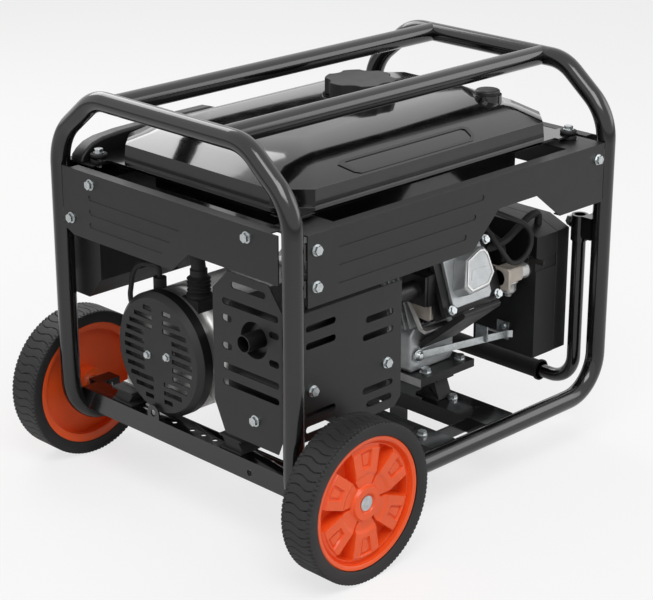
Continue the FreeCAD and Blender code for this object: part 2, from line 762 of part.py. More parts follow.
def crankcase_shape():
    x0, x1 = crankcase_x0, crankcase_x1
    outline = [(crank_y - 130, base_z + foot_thick), (crank_y - 130, crank_z - 40), (crank_y - 96, crank_z + 60),
               (crank_y - 50, crank_z + 100), (crank_y + 60, crank_z + 100), (crank_y + 104, crank_z + 50),
               (crank_y + 104, base_z + foot_thick)]
    case = prism(outline, "x", x0, x1)
    foot = box(x0 + 20, x1 - 20, mount_near_y - 24, mount_far_y + 24, base_z, base_z + foot_thick + 1)
    barrel = rod(along(90), along(barrel_end), barrel_r)
    parts = [case, foot, barrel]
    fin_pitch = 11.0
    fin = 116.0
    while fin < barrel_end - 6:
        parts.append(tilted_block(fin, fin + 3.5, 70.0, -66.0, 62.0))
        fin += fin_pitch
    body = fuse(parts)
    cavity_r = crank_z - base_z - foot_thick - 12.0
    cavity = rod(V(x0 + case_wall, crank_y, crank_z), V(x1 - case_wall, crank_y, crank_z), cavity_r)
    bore = rod(along(40), along(barrel_end + 5), bore_r)
    shaft = rod(V(x0 - 5, crank_y, crank_z), V(x1 + 5, crank_y, crank_z), crank_r + shaft_gap)
    filler_bore = rod(fill_low + fill_dir * 8, fill_mouth + fill_dir * 5, 9.0)
    return body.fuse(rod(fill_low + fill_dir * 30, fill_mouth, 15.0)).cut(
        Part.makeCompound([cavity, bore, shaft, filler_bore]))


crankcase = crankcase_shape()


def cylinder_head_shape():
    block = tilted_block(barrel_end, head_end, 52.0, -50.0, 50.0)
    parts = [block]
    for i in range(4):
        s = barrel_end + 6 + i * 12
        parts.append(tilted_block(s, s + 4, 64.0, -60.0, 62.0))
    flange = tilted_block(head_end - 8, head_end, 62.0, -56.0, 50.0)
    exhaust_port = box(cylinder_x - 76, cylinder_x - 50, crank_y - 216, crank_y - 166, crank_z + 40, crank_z + 90)
    intake_port = box(cylinder_x + 50, cylinder_x + 72, crank_y - 240, crank_y - 196, crank_z + 28, crank_z + 72)
    head = fuse(parts + [flange, exhaust_port, intake_port])
    head = head.cut(tilted_block(head_end, head_end + 60, 90.0, -90.0, 90.0))
    chamber = rod(along(barrel_end - 1), along(barrel_end + 14), bore_r - 2)
    return head.cut(chamber)


cylinder_head = cylinder_head_shape()


def valve_cover_shape():
    """Pressed cover with a tapered box and a flange that carries its bolts."""
    flange = tilted_block(head_end, head_end + 7, 61.0, -55.0, 49.0)
    base = [along(head_end + 6, a, x) for x, a in ((-46, -42), (46, -42), (50, 8), (30, 44), (-30, 44), (-50, 8))]
    top = [along(cover_end, a, x) for x, a in ((-39, -34), (39, -34), (43, 6), (26, 36), (-26, 36), (-43, 6))]
    wires = [Part.makePolygon(points + points[:1]) for points in (base, top)]
    return fuse([flange, Part.makeLoft(wires, True, True)])


valve_cover = valve_cover_shape()
for x, a in ((-53, -47), (53, -47), (-53, 40), (53, 40)):
    bolt(along(head_end + 7, a, x), out_dir, 3.5, 20)
for x in (cylinder_x - 40, cylinder_x + 40):
    bolt(V(x, mount_near_y - 8, base_z + foot_thick + 1), V(0, 0, 1), 4.5, foot_thick + 5)
    bolt(V(x, mount_far_y + 8, base_z + foot_thick + 1), V(0, 0, 1), 4.5, foot_thick + 5)


# crank train: crankshaft, flywheel and rotor turn together
web_inner = web_gap / 2
coupling_x = 4.0
shaft_parts = [rod(V(coupling_x, crank_y, crank_z), V(cylinder_x - web_inner, crank_y, crank_z), crank_r),
               rod(V(cylinder_x + web_inner, crank_y, crank_z), V(blower_x1 - 30, crank_y, crank_z), crank_r)]
webs = [rod(V(cylinder_x - web_inner - web_thick, crank_y, crank_z), V(cylinder_x - web_inner, crank_y, crank_z), web_r),
        rod(V(cylinder_x + web_inner, crank_y, crank_z), V(cylinder_x + web_inner + web_thick, crank_y, crank_z), web_r)]
crankshaft = Part.makeCompound([fuse([shaft_parts[0], webs[0]]), fuse([shaft_parts[1], webs[1]])])

fly_x0 = crankcase_x1 + 10.0
fly_x1 = blower_x1 - 32.0
fly = fuse([ring(V(fly_x0, crank_y, crank_z), V(fly_x1 - 12, crank_y, crank_z), flywheel_r, 74.0),
            ring(V(fly_x0 + 8, crank_y, crank_z), V(fly_x0 + 16, crank_y, crank_z), 76.0, crank_r)]
           + [ring(V(fly_x0, crank_y, crank_z), V(fly_x1, crank_y, crank_z), 26.0, crank_r)])
blades = []
blade_count = 16
for i in range(blade_count):
    blade = box(fly_x1 - 13, fly_x1 + 6, crank_y - 1.5, crank_y + 1.5, crank_z + 70, crank_z + 96)
    blade.rotate(V(0, crank_y, crank_z), V(1, 0, 0), 360.0 / blade_count * i)
    blades.append(blade)
flywheel = fuse([fly] + blades)

# piston and rod at mid stroke, the rod's big end and crank pin between the webs
pin_r = 13.0
stroke_half = 32.0
piston_at = 118.0
piston = rod(along(piston_at - 26), along(piston_at + 26), piston_r)
piston = piston.cut(rod(along(piston_at - 27), along(piston_at + 18), piston_r - 5))
wrist = rod(along(piston_at, 0, -piston_r + 4), along(piston_at, 0, piston_r - 4), 8.0)
piston = piston.fuse(ring(along(piston_at, 0, -piston_r + 4), along(piston_at, 0, -12), 12.0, 8.0).common(
    rod(along(piston_at - 26), along(piston_at + 26), piston_r)))
piston = piston.fuse(ring(along(piston_at, 0, 12), along(piston_at, 0, piston_r - 4), 12.0, 8.0).common(
    rod(along(piston_at - 26), along(piston_at + 26), piston_r)))
rod_parts = [rod(along(0, 0, -9), along(0, 0, 9), 24.0), rod(along(piston_at, 0, -9), along(piston_at, 0, 9), 13.0),
             tilted_block(10, piston_at - 4, 5.0, -8.0, 8.0),
             rod(along(0, 0, -web_inner + running_gap), along(0, 0, web_inner - running_gap), pin_r),
             rod(along(piston_at, 0, -12 + 0.3), along(piston_at, 0, 12 - 0.3), 7.6),
             wrist.common(rod(along(piston_at, 0, -30), along(piston_at, 0, 30), 7.95))]
connecting_rod = fuse(rod_parts)


# cooling blower housing and the recoil starter on it
def shell_of_turn(x0, x1, outer, wall):
    return fuse([ring(V(x0, crank_y, crank_z), V(x1, crank_y, crank_z), outer, outer - wall)])


blower_wall = 2.0
blower_housing = fuse([shell_of_turn(crankcase_x1, blower_x1, blower_r, blower_wall),
                       ring(V(blower_x1 - blower_wall, crank_y, crank_z), V(blower_x1, crank_y, crank_z),
                            blower_r, 82.0)])
recoil_r = 104.0
rope_z = crank_z + 82.0
rope_x = (blower_x1 + recoil_x1) / 2
rope_r = 2.5
grip_y0 = crank_y + recoil_r + 6.0
recoil = fuse([shell_of_turn(blower_x1, recoil_x1, recoil_r, blower_wall),
               ring(V(recoil_x1 - blower_wall, crank_y, crank_z), V(recoil_x1, crank_y, crank_z), recoil_r, 74.0),
               rod(V(recoil_x1 - blower_wall, crank_y, crank_z), V(recoil_x1, crank_y, crank_z), 30.0)]
              + [box(recoil_x1 - blower_wall, recoil_x1, crank_y - 2.5, crank_y + 2.5, crank_z + 28, crank_z + 76)
                 .rotated(V(0, crank_y, crank_z), V(1, 0, 0), 30.0 * i) for i in range(12)])
rope_guide_y = grip_y0
guide = box(rope_x - 9, rope_x + 9, crank_y + 50, rope_guide_y, rope_z - 9, rope_z + 9)
guide = guide.cut(rod(V(recoil_x1, crank_y, crank_z), V(blower_x1, crank_y, crank_z), recoil_r))
recoil = fuse([recoil, guide])
rope_hole = rod(V(rope_x, crank_y, rope_z), V(rope_x, rope_guide_y + 5, rope_z), rope_r + 0.7)
recoil_housing = recoil.cut(rope_hole)
for i in range(4):
    turn = radians(45 + 90 * i)
    place = V(blower_x1, crank_y + 110 * cos(turn), crank_z + 110 * sin(turn))
    bolt(place, V(1, 0, 0), 2.4, 6)

rope_start = crank_y - 52.0
grip_parts = [rod(V(rope_x, rope_start, rope_z), V(rope_x, grip_y0 + 12, rope_z), rope_r),
              rod(V(rope_x, grip_y0 + running_gap, rope_z), V(rope_x, grip_y0 + 12, rope_z), 8.0),
              box(rope_x - 11, rope_x + 11, grip_y0 + 8, grip_y0 + 26, rope_z - 45, rope_z + 45)]
recoil_grip = fuse(grip_parts)

# oil filler plug with its dipstick, on the control side of the crankcase
oil_dipstick = fuse([rod(fill_mouth - fill_dir * 70, fill_mouth + fill_dir * 4, 3.0),
                     rod(fill_mouth - fill_dir * 14, fill_mouth + fill_dir * 4, 9.0 - running_gap),
                     rod(fill_mouth + fill_dir * running_gap, fill_mouth + fill_dir * 11, 16.0),
                     rod(fill_mouth + fill_dir * 10, fill_mouth + fill_dir * 18, 9.0)])


# ------------------------------------------------------------------ alternator
def alternator_housing_shape():
    """Rear bracket with feet, outer band and the cone that bolts to the engine."""
    x0 = alternator_x0 + cover_depth
    rear = ring(V(x0, crank_y, crank_z), V(stator_x0, crank_y, crank_z), alternator_r, alternator_r - 7)
    wall = ring(V(x0, crank_y, crank_z), V(x0 + 8, crank_y, crank_z), alternator_r - 6, rotor_shaft_r + 16)
    hub = ring(V(x0, crank_y, crank_z), V(x0 + 26, crank_y, crank_z), rotor_shaft_r + 17, rotor_shaft_r + shaft_gap)
    foot_x = x0 + 2
    feet_outline = [(end_mount_near_y - 22, end_mount_top), (end_mount_near_y + 22, end_mount_top), (crank_y - 78, 196),
                    (crank_y + 50, 196), (end_mount_far_y - 22, end_mount_top), (end_mount_far_y + 22, end_mount_top),
                    (end_mount_far_y + 14, 196), (crank_y + 88, 232), (crank_y - 88, 232),
                    (end_mount_near_y - 14, 178)]
    feet_plate = prism(feet_outline, "x", foot_x, foot_x + 5)
    feet_plate = feet_plate.cut(rod(V(x0 - 9, crank_y, crank_z), V(0, crank_y, crank_z), alternator_r - 4))
    pads = [box(foot_x - 10, foot_x + 5, y - 18, y + 18, end_mount_top, end_mount_top + 4)
            for y in (end_mount_near_y, end_mount_far_y)]
    rear_part = fuse([rear, wall, hub, feet_plate] + pads)
    band = ring(V(stator_x0, crank_y, crank_z), V(stator_x1, crank_y, crank_z), alternator_r, alternator_r - 1.5)
    front = revolved([(alternator_r - 7, 0), (alternator_r, 0), (alternator_r, 20), (86, 46),
                      (86, crankcase_x0 - stator_x1), (60, crankcase_x0 - stator_x1), (60, 70), (78, 46)],
                     V(stator_x1, crank_y, crank_z), V(1, 0, 0))
    slots = []
    for i in range(10):
        cutter = box(stator_x1 + 50, stator_x1 + 92, crank_y - 11, crank_y + 11, crank_z + 50, crank_z + 110)
        slots.append(cutter.rotated(V(0, crank_y, crank_z), V(1, 0, 0), 36.0 * i))
    front = front.cut(Part.makeCompound(slots))
    return Part.makeCompound([rear_part, band, front])


alternator_housing = alternator_housing_shape()
stator = ring(V(stator_x0 + 2, crank_y, crank_z), V(stator_x1 - 2, crank_y, crank_z),
              alternator_r - 1.5, stator_bore_r)
rotor_x0 = alternator_x0 + cover_depth + 4
fan_x0 = stator_x1 + 12.0
rotor = fuse([rod(V(rotor_x0, crank_y, crank_z), V(coupling_x, crank_y, crank_z), rotor_shaft_r),
              rod(V(stator_x0 + 12, crank_y, crank_z), V(stator_x1 - 12, crank_y, crank_z), stator_bore_r - air_gap),
              rod(V(fan_x0, crank_y, crank_z), V(fan_x0 + 4, crank_y, crank_z), 70.0)]
             + [box(fan_x0 + 3, fan_x0 + 18, crank_y - 1.5, crank_y + 1.5, crank_z + 34, crank_z + 68)
                .rotated(V(0, crank_y, crank_z), V(1, 0, 0), 30.0 * i) for i in range(12)])


def alternator_cover_shape():
    """End cap with rows of louvres, a boss over the shaft and a rolled edge."""
    x0 = alternator_x0
    cap = revolved([(0, 0), (cover_r - 8, 0), (cover_r, 8), (cover_r, cover_depth),
                    (cover_r - 2.5, cover_depth), (cover_r - 2.5, 9), (cover_r - 9, 2.5), (0, 2.5)],
                   V(x0, crank_y, crank_z), V(1, 0, 0))
    cutters = []
    row_pitch = 14.0
    for row in range(-5, 6):
        z = crank_z + row * row_pitch
        for side in (-1, 1):
            half_chord = (cover_r - 20) ** 2 - (row * row_pitch) ** 2
            reach = half_chord ** 0.5
            inner = 12.0 if abs(row) > 2 else 32.0
            if reach - inner < 14:
                continue
            y0, y1 = sorted((crank_y + side * inner, crank_y + side * reach))
            cutters.append(box(x0 - 1, x0 + 4, y0, y1, z - 3.5, z + 3.5))
    return cap.cut(Part.makeCompound(cutters))


alternator_cover = alternator_cover_shape()
for side in (-1, 1):
    bolt(V(alternator_x0, crank_y + side * 22, crank_z - side * 4), V(-1, 0, 0), 3.0, 12)

# leads held between housings: conduit from the alternator to the control box, and the earth lead
conduit_x = -262.0
conduit_y = 26.0
conduit_base = crank_z + (alternator_r ** 2 - (conduit_y - crank_y) ** 2) ** 0.5
conduit_points = [V(conduit_x, conduit_y, conduit_base + 2), V(conduit_x, conduit_y, 392),
                  V(conduit_x + 6, conduit_y + 44, 424), V(conduit_x + 10, conduit_y + 104, 428),
                  V(conduit_x + 10, box_y0, 428)]
boot = revolved([(0, 0), (19, 0), (19, 4), (15, 7), (18, 10), (15, 13), (18, 16), (15, 19), (18, 22),
                 (15, 25), (18, 28), (13, 32), (13, 42), (0, 42)],
                V(conduit_x, conduit_y, conduit_base + 6), V(0, 0, 1))
base_pad = box(conduit_x - 20, conduit_x + 20, conduit_y - 20, conduit_y + 20, conduit_base - 14, conduit_base + 6)
base_pad = base_pad.cut(rod(V(-330, crank_y, crank_z), V(0, crank_y, crank_z), alternator_r))
conduit = fuse([boot, base_pad, lead(conduit_points, 11.0)])
conduit = conduit.cut(rod(V(-330, crank_y, crank_z), V(0, crank_y, crank_z), alternator_r))
earth_x = -276.0
earth_points = [V(earth_x, crank_y + 92, 268), V(earth_x, crank_y + 106, 292), V(earth_x, crank_y + 92, 352),
                V(earth_x, crank_y + 34, 362), V(earth_x, crank_y + 33, 340)]
earth = fuse([lead(earth_points, 4.0), rod(V(earth_x, crank_y + 33, 316), V(earth_x, crank_y + 33, 344), 10.0),
              box(earth_x - 9, earth_x + 9, crank_y + 78, crank_y + 98, 256, 272)])
earth = earth.cut(rod(V(-330, crank_y, crank_z), V(0, crank_y, crank_z), alternator_r))
earth = max(earth.Solids, key=lambda s: s.Volume)
alternator_leads = Part.makeCompound([conduit, earth])


# ------------------------------------------------------------------ muffler
def muffler_shape():
    body = box(muffler_x0, muffler_x1, muffler_y0, muffler_y1, muffler_z0, muffler_z1)
    body = body.makeFillet(24.0, [e for e in body.Edges if abs(e.tangentAt(e.FirstParameter).x) > 0.9])
    inner = box(muffler_x0 + 2, muffler_x1 - 2, muffler_y0 + 2, muffler_y1 - 2, muffler_z0 + 2, muffler_z1 - 2)
    inner = inner.makeFillet(22.0, [e for e in inner.Edges if abs(e.tangentAt(e.FirstParameter).x) > 0.9])
    shell = body.cut(inner)
    mouth = V(-guard_x - outlet_reach, outlet_y, outlet_z)
    outlet = rod(mouth, V(muffler_x0 + 6, outlet_y, outlet_z), outlet_r)
    flange = rod(V(muffler_x0 - 3, outlet_y, outlet_z), V(muffler_x0 + 1, outlet_y, outlet_z), 21.0)
    port_y = crank_y - 191.0
    port_z = crank_z + 65.0
    inlet = rod(V(muffler_x1 - 6, port_y, port_z), V(cylinder_x - 76, port_y, port_z), exhaust_r)
    plate = box(cylinder_x - 82, cylinder_x - 76, port_y - 24, port_y + 24, port_z - 24, port_z + 24)
    body = fuse([shell, outlet, flange, inlet, plate])
    bores = [rod(mouth - V(1, 0, 0), V(muffler_x0 + 9, outlet_y, outlet_z), outlet_r - 1.5),
             rod(V(muffler_x1 - 9, port_y, port_z), V(cylinder_x - 70, port_y, port_z), exhaust_r - 1.8)]
    return body.cut(Part.makeCompound(bores))


muffler = muffler_shape()


def guard_shape():
    """Folded heat guard: end plate, rounded corner and long plate."""
    outer = box(-guard_x, guard_end, -guard_y, guard_inner_y, guard_low - 20, guard_top + 20)
    edge = [e for e in outer.Edges if abs(e.tangentAt(e.FirstParameter).z) > 0.9
            and e.BoundBox.XMax < -guard_x + 1 and e.BoundBox.YMax < -guard_y + 1]
    outer = outer.makeFillet(guard_corner_r, edge)
    inner = box(-guard_x + guard_sheet, guard_end + 50, -guard_y + guard_sheet, guard_inner_y + 50,
                guard_low - 30, guard_top + 30)
    edge = [e for e in inner.Edges if abs(e.tangentAt(e.FirstParameter).z) > 0.9
            and e.BoundBox.XMax < -guard_x + guard_sheet + 1 and e.BoundBox.YMax < -guard_y + guard_sheet + 1]
    inner = inner.makeFillet(guard_corner_r - guard_sheet, edge)
    sheet_metal = outer.cut(inner)
    outline = [(-guard_y - 8, guard_long_low), (-212, guard_long_low), (-204, guard_low), (-94, guard_low),
               (guard_inner_y, guard_low + 46), (guard_inner_y, guard_top - 32), (-104, guard_top),
               (-186, guard_top), (-214, guard_long_top), (-guard_y - 8, guard_long_top)]
    sheet_metal = sheet_metal.common(prism(outline, "x", -guard_x - 10, guard_end + 10))
    corner = prism([(guard_end - 14, guard_long_low - 1), (guard_end + 1, guard_long_low - 1),
                    (guard_end + 1, guard_long_low + 14)], "y", -guard_y - 5, -guard_y + 5)
    cutters = [corner, rod(V(-guard_x - 5, outlet_y, outlet_z), V(-guard_x + 5, outlet_y, outlet_z), outlet_hole_r)]
    end_slots = [(-146, 70, 398), (-149, 114, 370), (-101, 20, 345), (-197, 20, 345), (-101, 20, 303),
                 (-197, 20, 303), (-149, 116, 272), (-149, 116, 248)]
    for y, length, z in end_slots:
        cutters.append(slot("x", V(-guard_x, y, z), length, guard_slot, 8))
    long_slots = [(-266, 58, 356), (-266, 58, 330), (-149, 56, 338), (-152, 62, 312), (-266, 58, 226),
                  (-152, 62, 230), (-149, 52, 208), (-266, 58, 205)]
    for x, length, z in long_slots:
        cutters.append(slot("y", V(x, -guard_y, z), length, guard_slot, 8))
    guard = sheet_metal.cut(Part.makeCompound(cutters))
    stands = [rod(V(-guard_x + guard_sheet, -158, 206), V(muffler_x0, -158, 206 + 0), 7.0),
              rod(V(-134, -guard_y + guard_sheet, 262), V(-134, muffler_y0, 262), 7.0),
              rod(V(-282, -guard_y + guard_sheet, 262), V(-282, muffler_y0, 262), 7.0)]
    return fuse([guard] + stands)


muffler_guard = guard_shape()
bolt(V(-guard_x, -158, 206), V(-1, 0, 0), 4.0, 12)
bolt(V(-134, -guard_y, 262), V(0, -1, 0), 4.0, 12)
bolt(V(-282, -guard_y, 262), V(0, -1, 0), 4.0, 12)


# ------------------------------------------------------------------ fuel tank
def tank_shape():
    z = tank_flange_z
    flange = loft([(tank_half_x, tank_half_y, 26, z), (tank_half_x, tank_half_y, 26, z + tank_flange)])
    w = tank_wall
    levels = [(tank_body_x, tank_body_y, 44, z), (tank_body_x - 2, tank_body_y - 2, 44, z + 30),
              (tank_body_x - 32, tank_body_y - 32, 48, z + 49), (tank_body_x - 80, tank_body_y - 100, 40, tank_top)]
    outer = loft(levels)
    belly = loft([(belly_half_x - 14, belly_half_y - 14, 30, belly_low),
                  (belly_half_x, belly_half_y, 34, belly_low + 16), (belly_half_x, belly_half_y, 34, z + 1)])
    inside = [loft([(x - w, y - w, c, max(h - w, z + w)) for x, y, c, h in levels]),
              loft([(belly_half_x - 14 - w, belly_half_y - 14 - w, 30, belly_low + w),
                    (belly_half_x - w, belly_half_y - w, 34, belly_low + 16 + w),
                    (belly_half_x - w, belly_half_y - w, 34, z + 2 * w)])]
    ears = []
    for sx in (-1, 1):
        for sy in (-1, 1):
            x0, x1 = sorted((sx * (tank_half_x - 40), sx * (tank_bolt_x + 11)))
            y0, y1 = sorted((sy * (tank_half_y - 30), sy * (tank_bolt_y + 10)))
            ears.append(box(x0, x1, y0, y1, z + 1, z + tank_flange))
    neck = rod(V(cap_x, cap_y, tank_top - 4), V(cap_x, cap_y, neck_top), neck_r)
    collar = rod(V(cap_x, cap_y, tank_top - 4), V(cap_x, cap_y, tank_top + 2), cap_r + 4)
    gauge_seat = rod(V(gauge_x, gauge_y, tank_top - 20), V(gauge_x, gauge_y, tank_top - 2), gauge_r + 3)
    body = fuse([outer, belly, flange, neck, collar, gauge_seat] + ears)
    cutters = [fuse(inside)]
    cutters.append(rod(V(cap_x, cap_y, tank_top - 10), V(cap_x, cap_y, neck_top + 1), neck_r - 3))
    cutters.append(rod(V(gauge_x, gauge_y, tank_top - 14), V(gauge_x, gauge_y, tank_top + 10), gauge_r + 0.3))
    for sx in (-1, 1):
        for sy in (-1, 1):
            cutters.append(rod(V(sx * tank_bolt_x, sy * tank_bolt_y, z - 5), V(sx * tank_bolt_x, sy * tank_bolt_y, z + 9),
                               7.5))
    return cut(body, cutters)


fuel_tank = tank_shape()
tank_under = tank_flange_z + 1.0
tank_ear_top = tank_flange_z + tank_flange
bushings = []
for sx in (-1, 1):
    for sy in (-1, 1):
        place = V(sx * tank_bolt_x, sy * tank_bolt_y, 0)
        lower = rod(place + V(0, 0, panel_top), place + V(0, 0, tank_under), bushing_r)
        neck = rod(place + V(0, 0, panel_top), place + V(0, 0, tank_ear_top + 4), 7.2)
        upper = rod(place + V(0, 0, tank_ear_top), place + V(0, 0, tank_ear_top + 5), bushing_r)
        bushings.append(fuse([lower, neck, upper]))
        bolt(place + V(0, 0, tank_ear_top + 5), V(0, 0, 1), 4.0, 22)
tank_bushings = Part.makeCompound(bushings)


def cap_shape():
    """Scalloped filler cap with a deep skirt over the neck."""
    low = tank_top + 2 + running_gap
    cap = rod(V(cap_x, cap_y, low), V(cap_x, cap_y, cap_top), cap_r)
    scallops = []
    for i in range(6):
        turn = radians(60 * i + 30)
        reach = cap_r + 15
        scallops.append(Part.makeCylinder(22.0, 40, V(cap_x + reach * cos(turn), cap_y + reach * sin(turn), low - 5)))
    hollow = rod(V(cap_x, cap_y, low - 1), V(cap_x, cap_y, neck_top + 1.2), neck_r + 0.6)
    return cap.cut(Part.makeCompound(scallops + [hollow]))


fuel_cap = cap_shape()
fuel_gauge = rod(V(gauge_x, gauge_y, tank_top - 13.5), V(gauge_x, gauge_y, tank_top + 5), gauge_r)
fuel_gauge = fuel_gauge.makeFillet(3.0, [max(fuel_gauge.Edges, key=lambda e: e.CenterOfMass.z)])

# fuel valve under the tank, its lever and the hose down to the carburettor
valve_x = 176.0
valve_y = -128.0
valve_low = belly_low - 34.0
valve_body = fuse([rod(V(valve_x, valve_y, belly_low), V(valve_x, valve_y, valve_low), 8.0),
                   rod(V(valve_x, valve_y, belly_low), V(valve_x, valve_y, belly_low - 6), 13.0),
                   rod(V(valve_x, valve_y + 6, belly_low - 18), V(valve_x, valve_y - 14, belly_low - 18), 11.0),
                   rod(V(valve_x, valve_y, valve_low), V(valve_x, valve_y, valve_low - 12), 3.0)])
fuel_valve = valve_body
lever_y = valve_y - 14 - running_gap
fuel_valve_lever = fuse([rod(V(valve_x, lever_y, belly_low - 18), V(valve_x, lever_y - 6, belly_low - 18), 9.0),
                         box(valve_x - 3.5, valve_x + 3.5, lever_y - 12, lever_y - 2, belly_low - 46, belly_low - 16)])
hose_points = [V(valve_x, valve_y, valve_low - 2), V(valve_x, valve_y, valve_low - 36),
               V(valve_x + 22, valve_y - 6, valve_low - 62), V(carb_x, carb_y + 13, carb_z + 46),
               V(carb_x, carb_y + 13, carb_z + 18)]
hose_wire = path_wire(hose_points, open_radii(hose_points))
fuel_hose = pipe(hose_wire, 4.5).cut(rod(V(valve_x, valve_y, valve_low + 5), V(valve_x, valve_y, valve_low - 13), 3.1))


# ------------------------------------------------------------------ intake
def carburettor_shape():
    """Body with its throat along X, float bowl below, and the insulator to the head."""
    head_face = cylinder_x + 72.0
    throat = rod(V(head_face, carb_y, carb_z), V(air_box_x0, carb_y, carb_z), 16.0)
    flanges = [box(head_face, head_face + 6, carb_y - 24, carb_y + 24, carb_z - 19, carb_z + 19),
               box(air_box_x0 - 5, air_box_x0, carb_y - 24, carb_y + 24, carb_z - 19, carb_z + 19)]
    block = box(carb_x - 18, carb_x + 18, carb_y - 20, carb_y + 20, carb_z - 26, carb_z + 18)
    body = fuse([throat, block] + flanges)
    bore = rod(V(head_face - 1, carb_y, carb_z), V(air_box_x0 + 1, carb_y, carb_z), 12.0)
    body = body.cut(bore)
    bowl = fuse([rod(V(carb_x, carb_y, carb_z - 26), V(carb_x, carb_y, carb_z - 58), 19.0),
                 rod(V(carb_x, carb_y, carb_z - 58), V(carb_x, carb_y, carb_z - 64), 7.0)])
    return Part.makeCompound([body, bowl])


carburettor = carburettor_shape()
choke_x = air_box_x0 - 12.0
choke_y = carb_y - 16.0
choke_z = carb_z + 23.0
choke_post = rod(V(choke_x - 4, choke_y, choke_z), V(choke_x + 3.5, choke_y, choke_z), 6.0)
choke_lever = fuse([choke_post, box(choke_x - 1.5, choke_x + 1.5, choke_y - 34, choke_y, choke_z - 4, choke_z + 4)])
pivot_bore = rod(V(choke_x - 9, choke_y, choke_z), V(choke_x + 9, choke_y, choke_z), 2.55)
choke_lever = choke_lever.cut(pivot_bore)
choke_pin = rod(V(choke_x - 6, choke_y, choke_z), V(air_box_x0, choke_y, choke_z), 2.5)


def air_box_shapes():
    """Air cleaner: base on the carburettor side, cover on the outside, foam filter inside."""
    x0, x1, seam = air_box_x0, air_box_x1, air_box_seam
    y0, y1, z0, z1 = air_box_y0, air_box_y1, air_box_z0, air_box_z1
    outline = [(y0, z0), (y1, z0), (y1, z1), (y0 + 40, z1), (y0, z1 - 16)]
    wall = 2.5
    inner = [(y0 + wall, z0 + wall), (y1 - wall, z0 + wall), (y1 - wall, z1 - wall),
             (y0 + 41, z1 - wall), (y0 + wall, z1 - 17 - wall)]
    base = prism(outline, "x", x0, seam).cut(prism(inner, "x", x0 + wall, seam + 1))
    lid = prism(outline, "x", seam, x1).cut(prism(inner, "x", seam - 1, x1 - wall))
    groove = box(x0 - 1, x0 + 62, y0 - 1, y0 + 1.5, 292, 312)
    throat = rod(V(x0 - 1, carb_y, carb_z), V(x0 + 4, carb_y, carb_z), 12.0)
    base = base.cut(Part.makeCompound([groove, throat]))
    filter_block = box(x0 + 16, x1 - 10, y0 + 12, y1 - 10, z0 + 60, z1 - 30)
    seat = [box(x0 + wall, x0 + 16, y0 + 30, y0 + 34, z0 + 80, z1 - 60),
            box(x0 + wall, x0 + 16, y1 - 34, y1 - 30, z0 + 80, z1 - 60)]
    return fuse([base, choke_pin] + seat), lid, filter_block, prism(outline, "x", x0, x1)


air_box, air_box_cover, air_filter, air_box_body = air_box_shapes()

stay_z0 = 196.0
stay_z1 = 172.0
stay_y = -128.0
case_side_x = crankcase_x1
air_box_stay = fuse([box(case_side_x, case_side_x + 3, stay_y - 12, stay_y + 12, stay_z0 - 22, stay_z0 + 4).cut(
    rod(V(0, crank_y, crank_z), V(400, crank_y, crank_z), blower_r)),
    prism([(case_side_x, stay_z0), (case_side_x, stay_z0 + 3), (air_box_x0 - 3, stay_z1 + 3),
           (air_box_x0 - 3, stay_z1)], "y", stay_y - 10, stay_y + 10),
    box(air_box_x0 - 3, air_box_x0, stay_y - 12, stay_y + 12, stay_z1 - 8, stay_z1 + 22)])
air_box_stay = air_box_stay.cut(box(0, case_side_x, -400, 400, 0, 600))
bolt(V(air_box_x0 - 3, stay_y, stay_z1 + 12), V(-1, 0, 0), 3.0, 8)

# spark plug in the head, its lead to the coil on the blower housing, and the breather hose
plug_base = along(head_end - 28, 50, 30)
plug_dir = V(0.1, -0.1, 1).normalize()
spark_plug = fuse([rod(plug_base, plug_base + plug_dir * 24, 9.0),
                   rod(plug_base + plug_dir * 23, plug_base + plug_dir * 44, 5.0)])
spark_plug = max(cut(spark_plug, [cylinder_head, valve_cover]).Solids, key=lambda s: s.Volume)
boot_low = plug_base + plug_dir * 26
boot_high = plug_base + plug_dir * 54
lead_points = [plug_base + plug_dir * 52, plug_base + plug_dir * 66, V(166, -148, 384), V(174, -182, 344),
               V(190, -188, 320), V(214, -188, 318), V(236, -188, 332), V(239, -188, 358), V(222, -187, 378),
               V(186, -186, 396), V(150, -176, 414), V(136, -132, 424), V(166, -74, 416), V(214, -44, 396),
               V(222, crank_y - 92, crank_z + 82)]
spark_plug_lead = fuse([rod(boot_low, boot_high, 9.0), lead(lead_points, 4.0)]).cut(
    rod(plug_base, plug_base + plug_dir * 45, 5.3))
spark_plug_lead = cut(spark_plug_lead, [rod(V(0, crank_y, crank_z), V(400, crank_y, crank_z), blower_r)])
spark_plug_lead = max(spark_plug_lead.Solids, key=lambda s: s.Volume)

breather_points = [V(168, -146, 336), V(196, -166, 347), V(262, -165, 378), V(284, -164, 378), V(284, -162, 342)]
breather_hose = cut(lead(breather_points, 6.0), [cylinder_head, valve_cover, air_box_body])
breather_hose = max(breather_hose.Solids, key=lambda s: s.Volume)

# earth stud on the base of the frame
bolt(V(second_member_x, -200, rail_height + tube_r), V(0, 0, 1), 4.0, 12)
bolt(V(member_x + 8, -140, rail_height + tube_r), V(0, 0, 1), 4.0, 12)
for side in (-1, 1):
    bolt(V(member_x, side * (leg_half - 30), member_top), V(0, 0, 1), 3.0, 8)


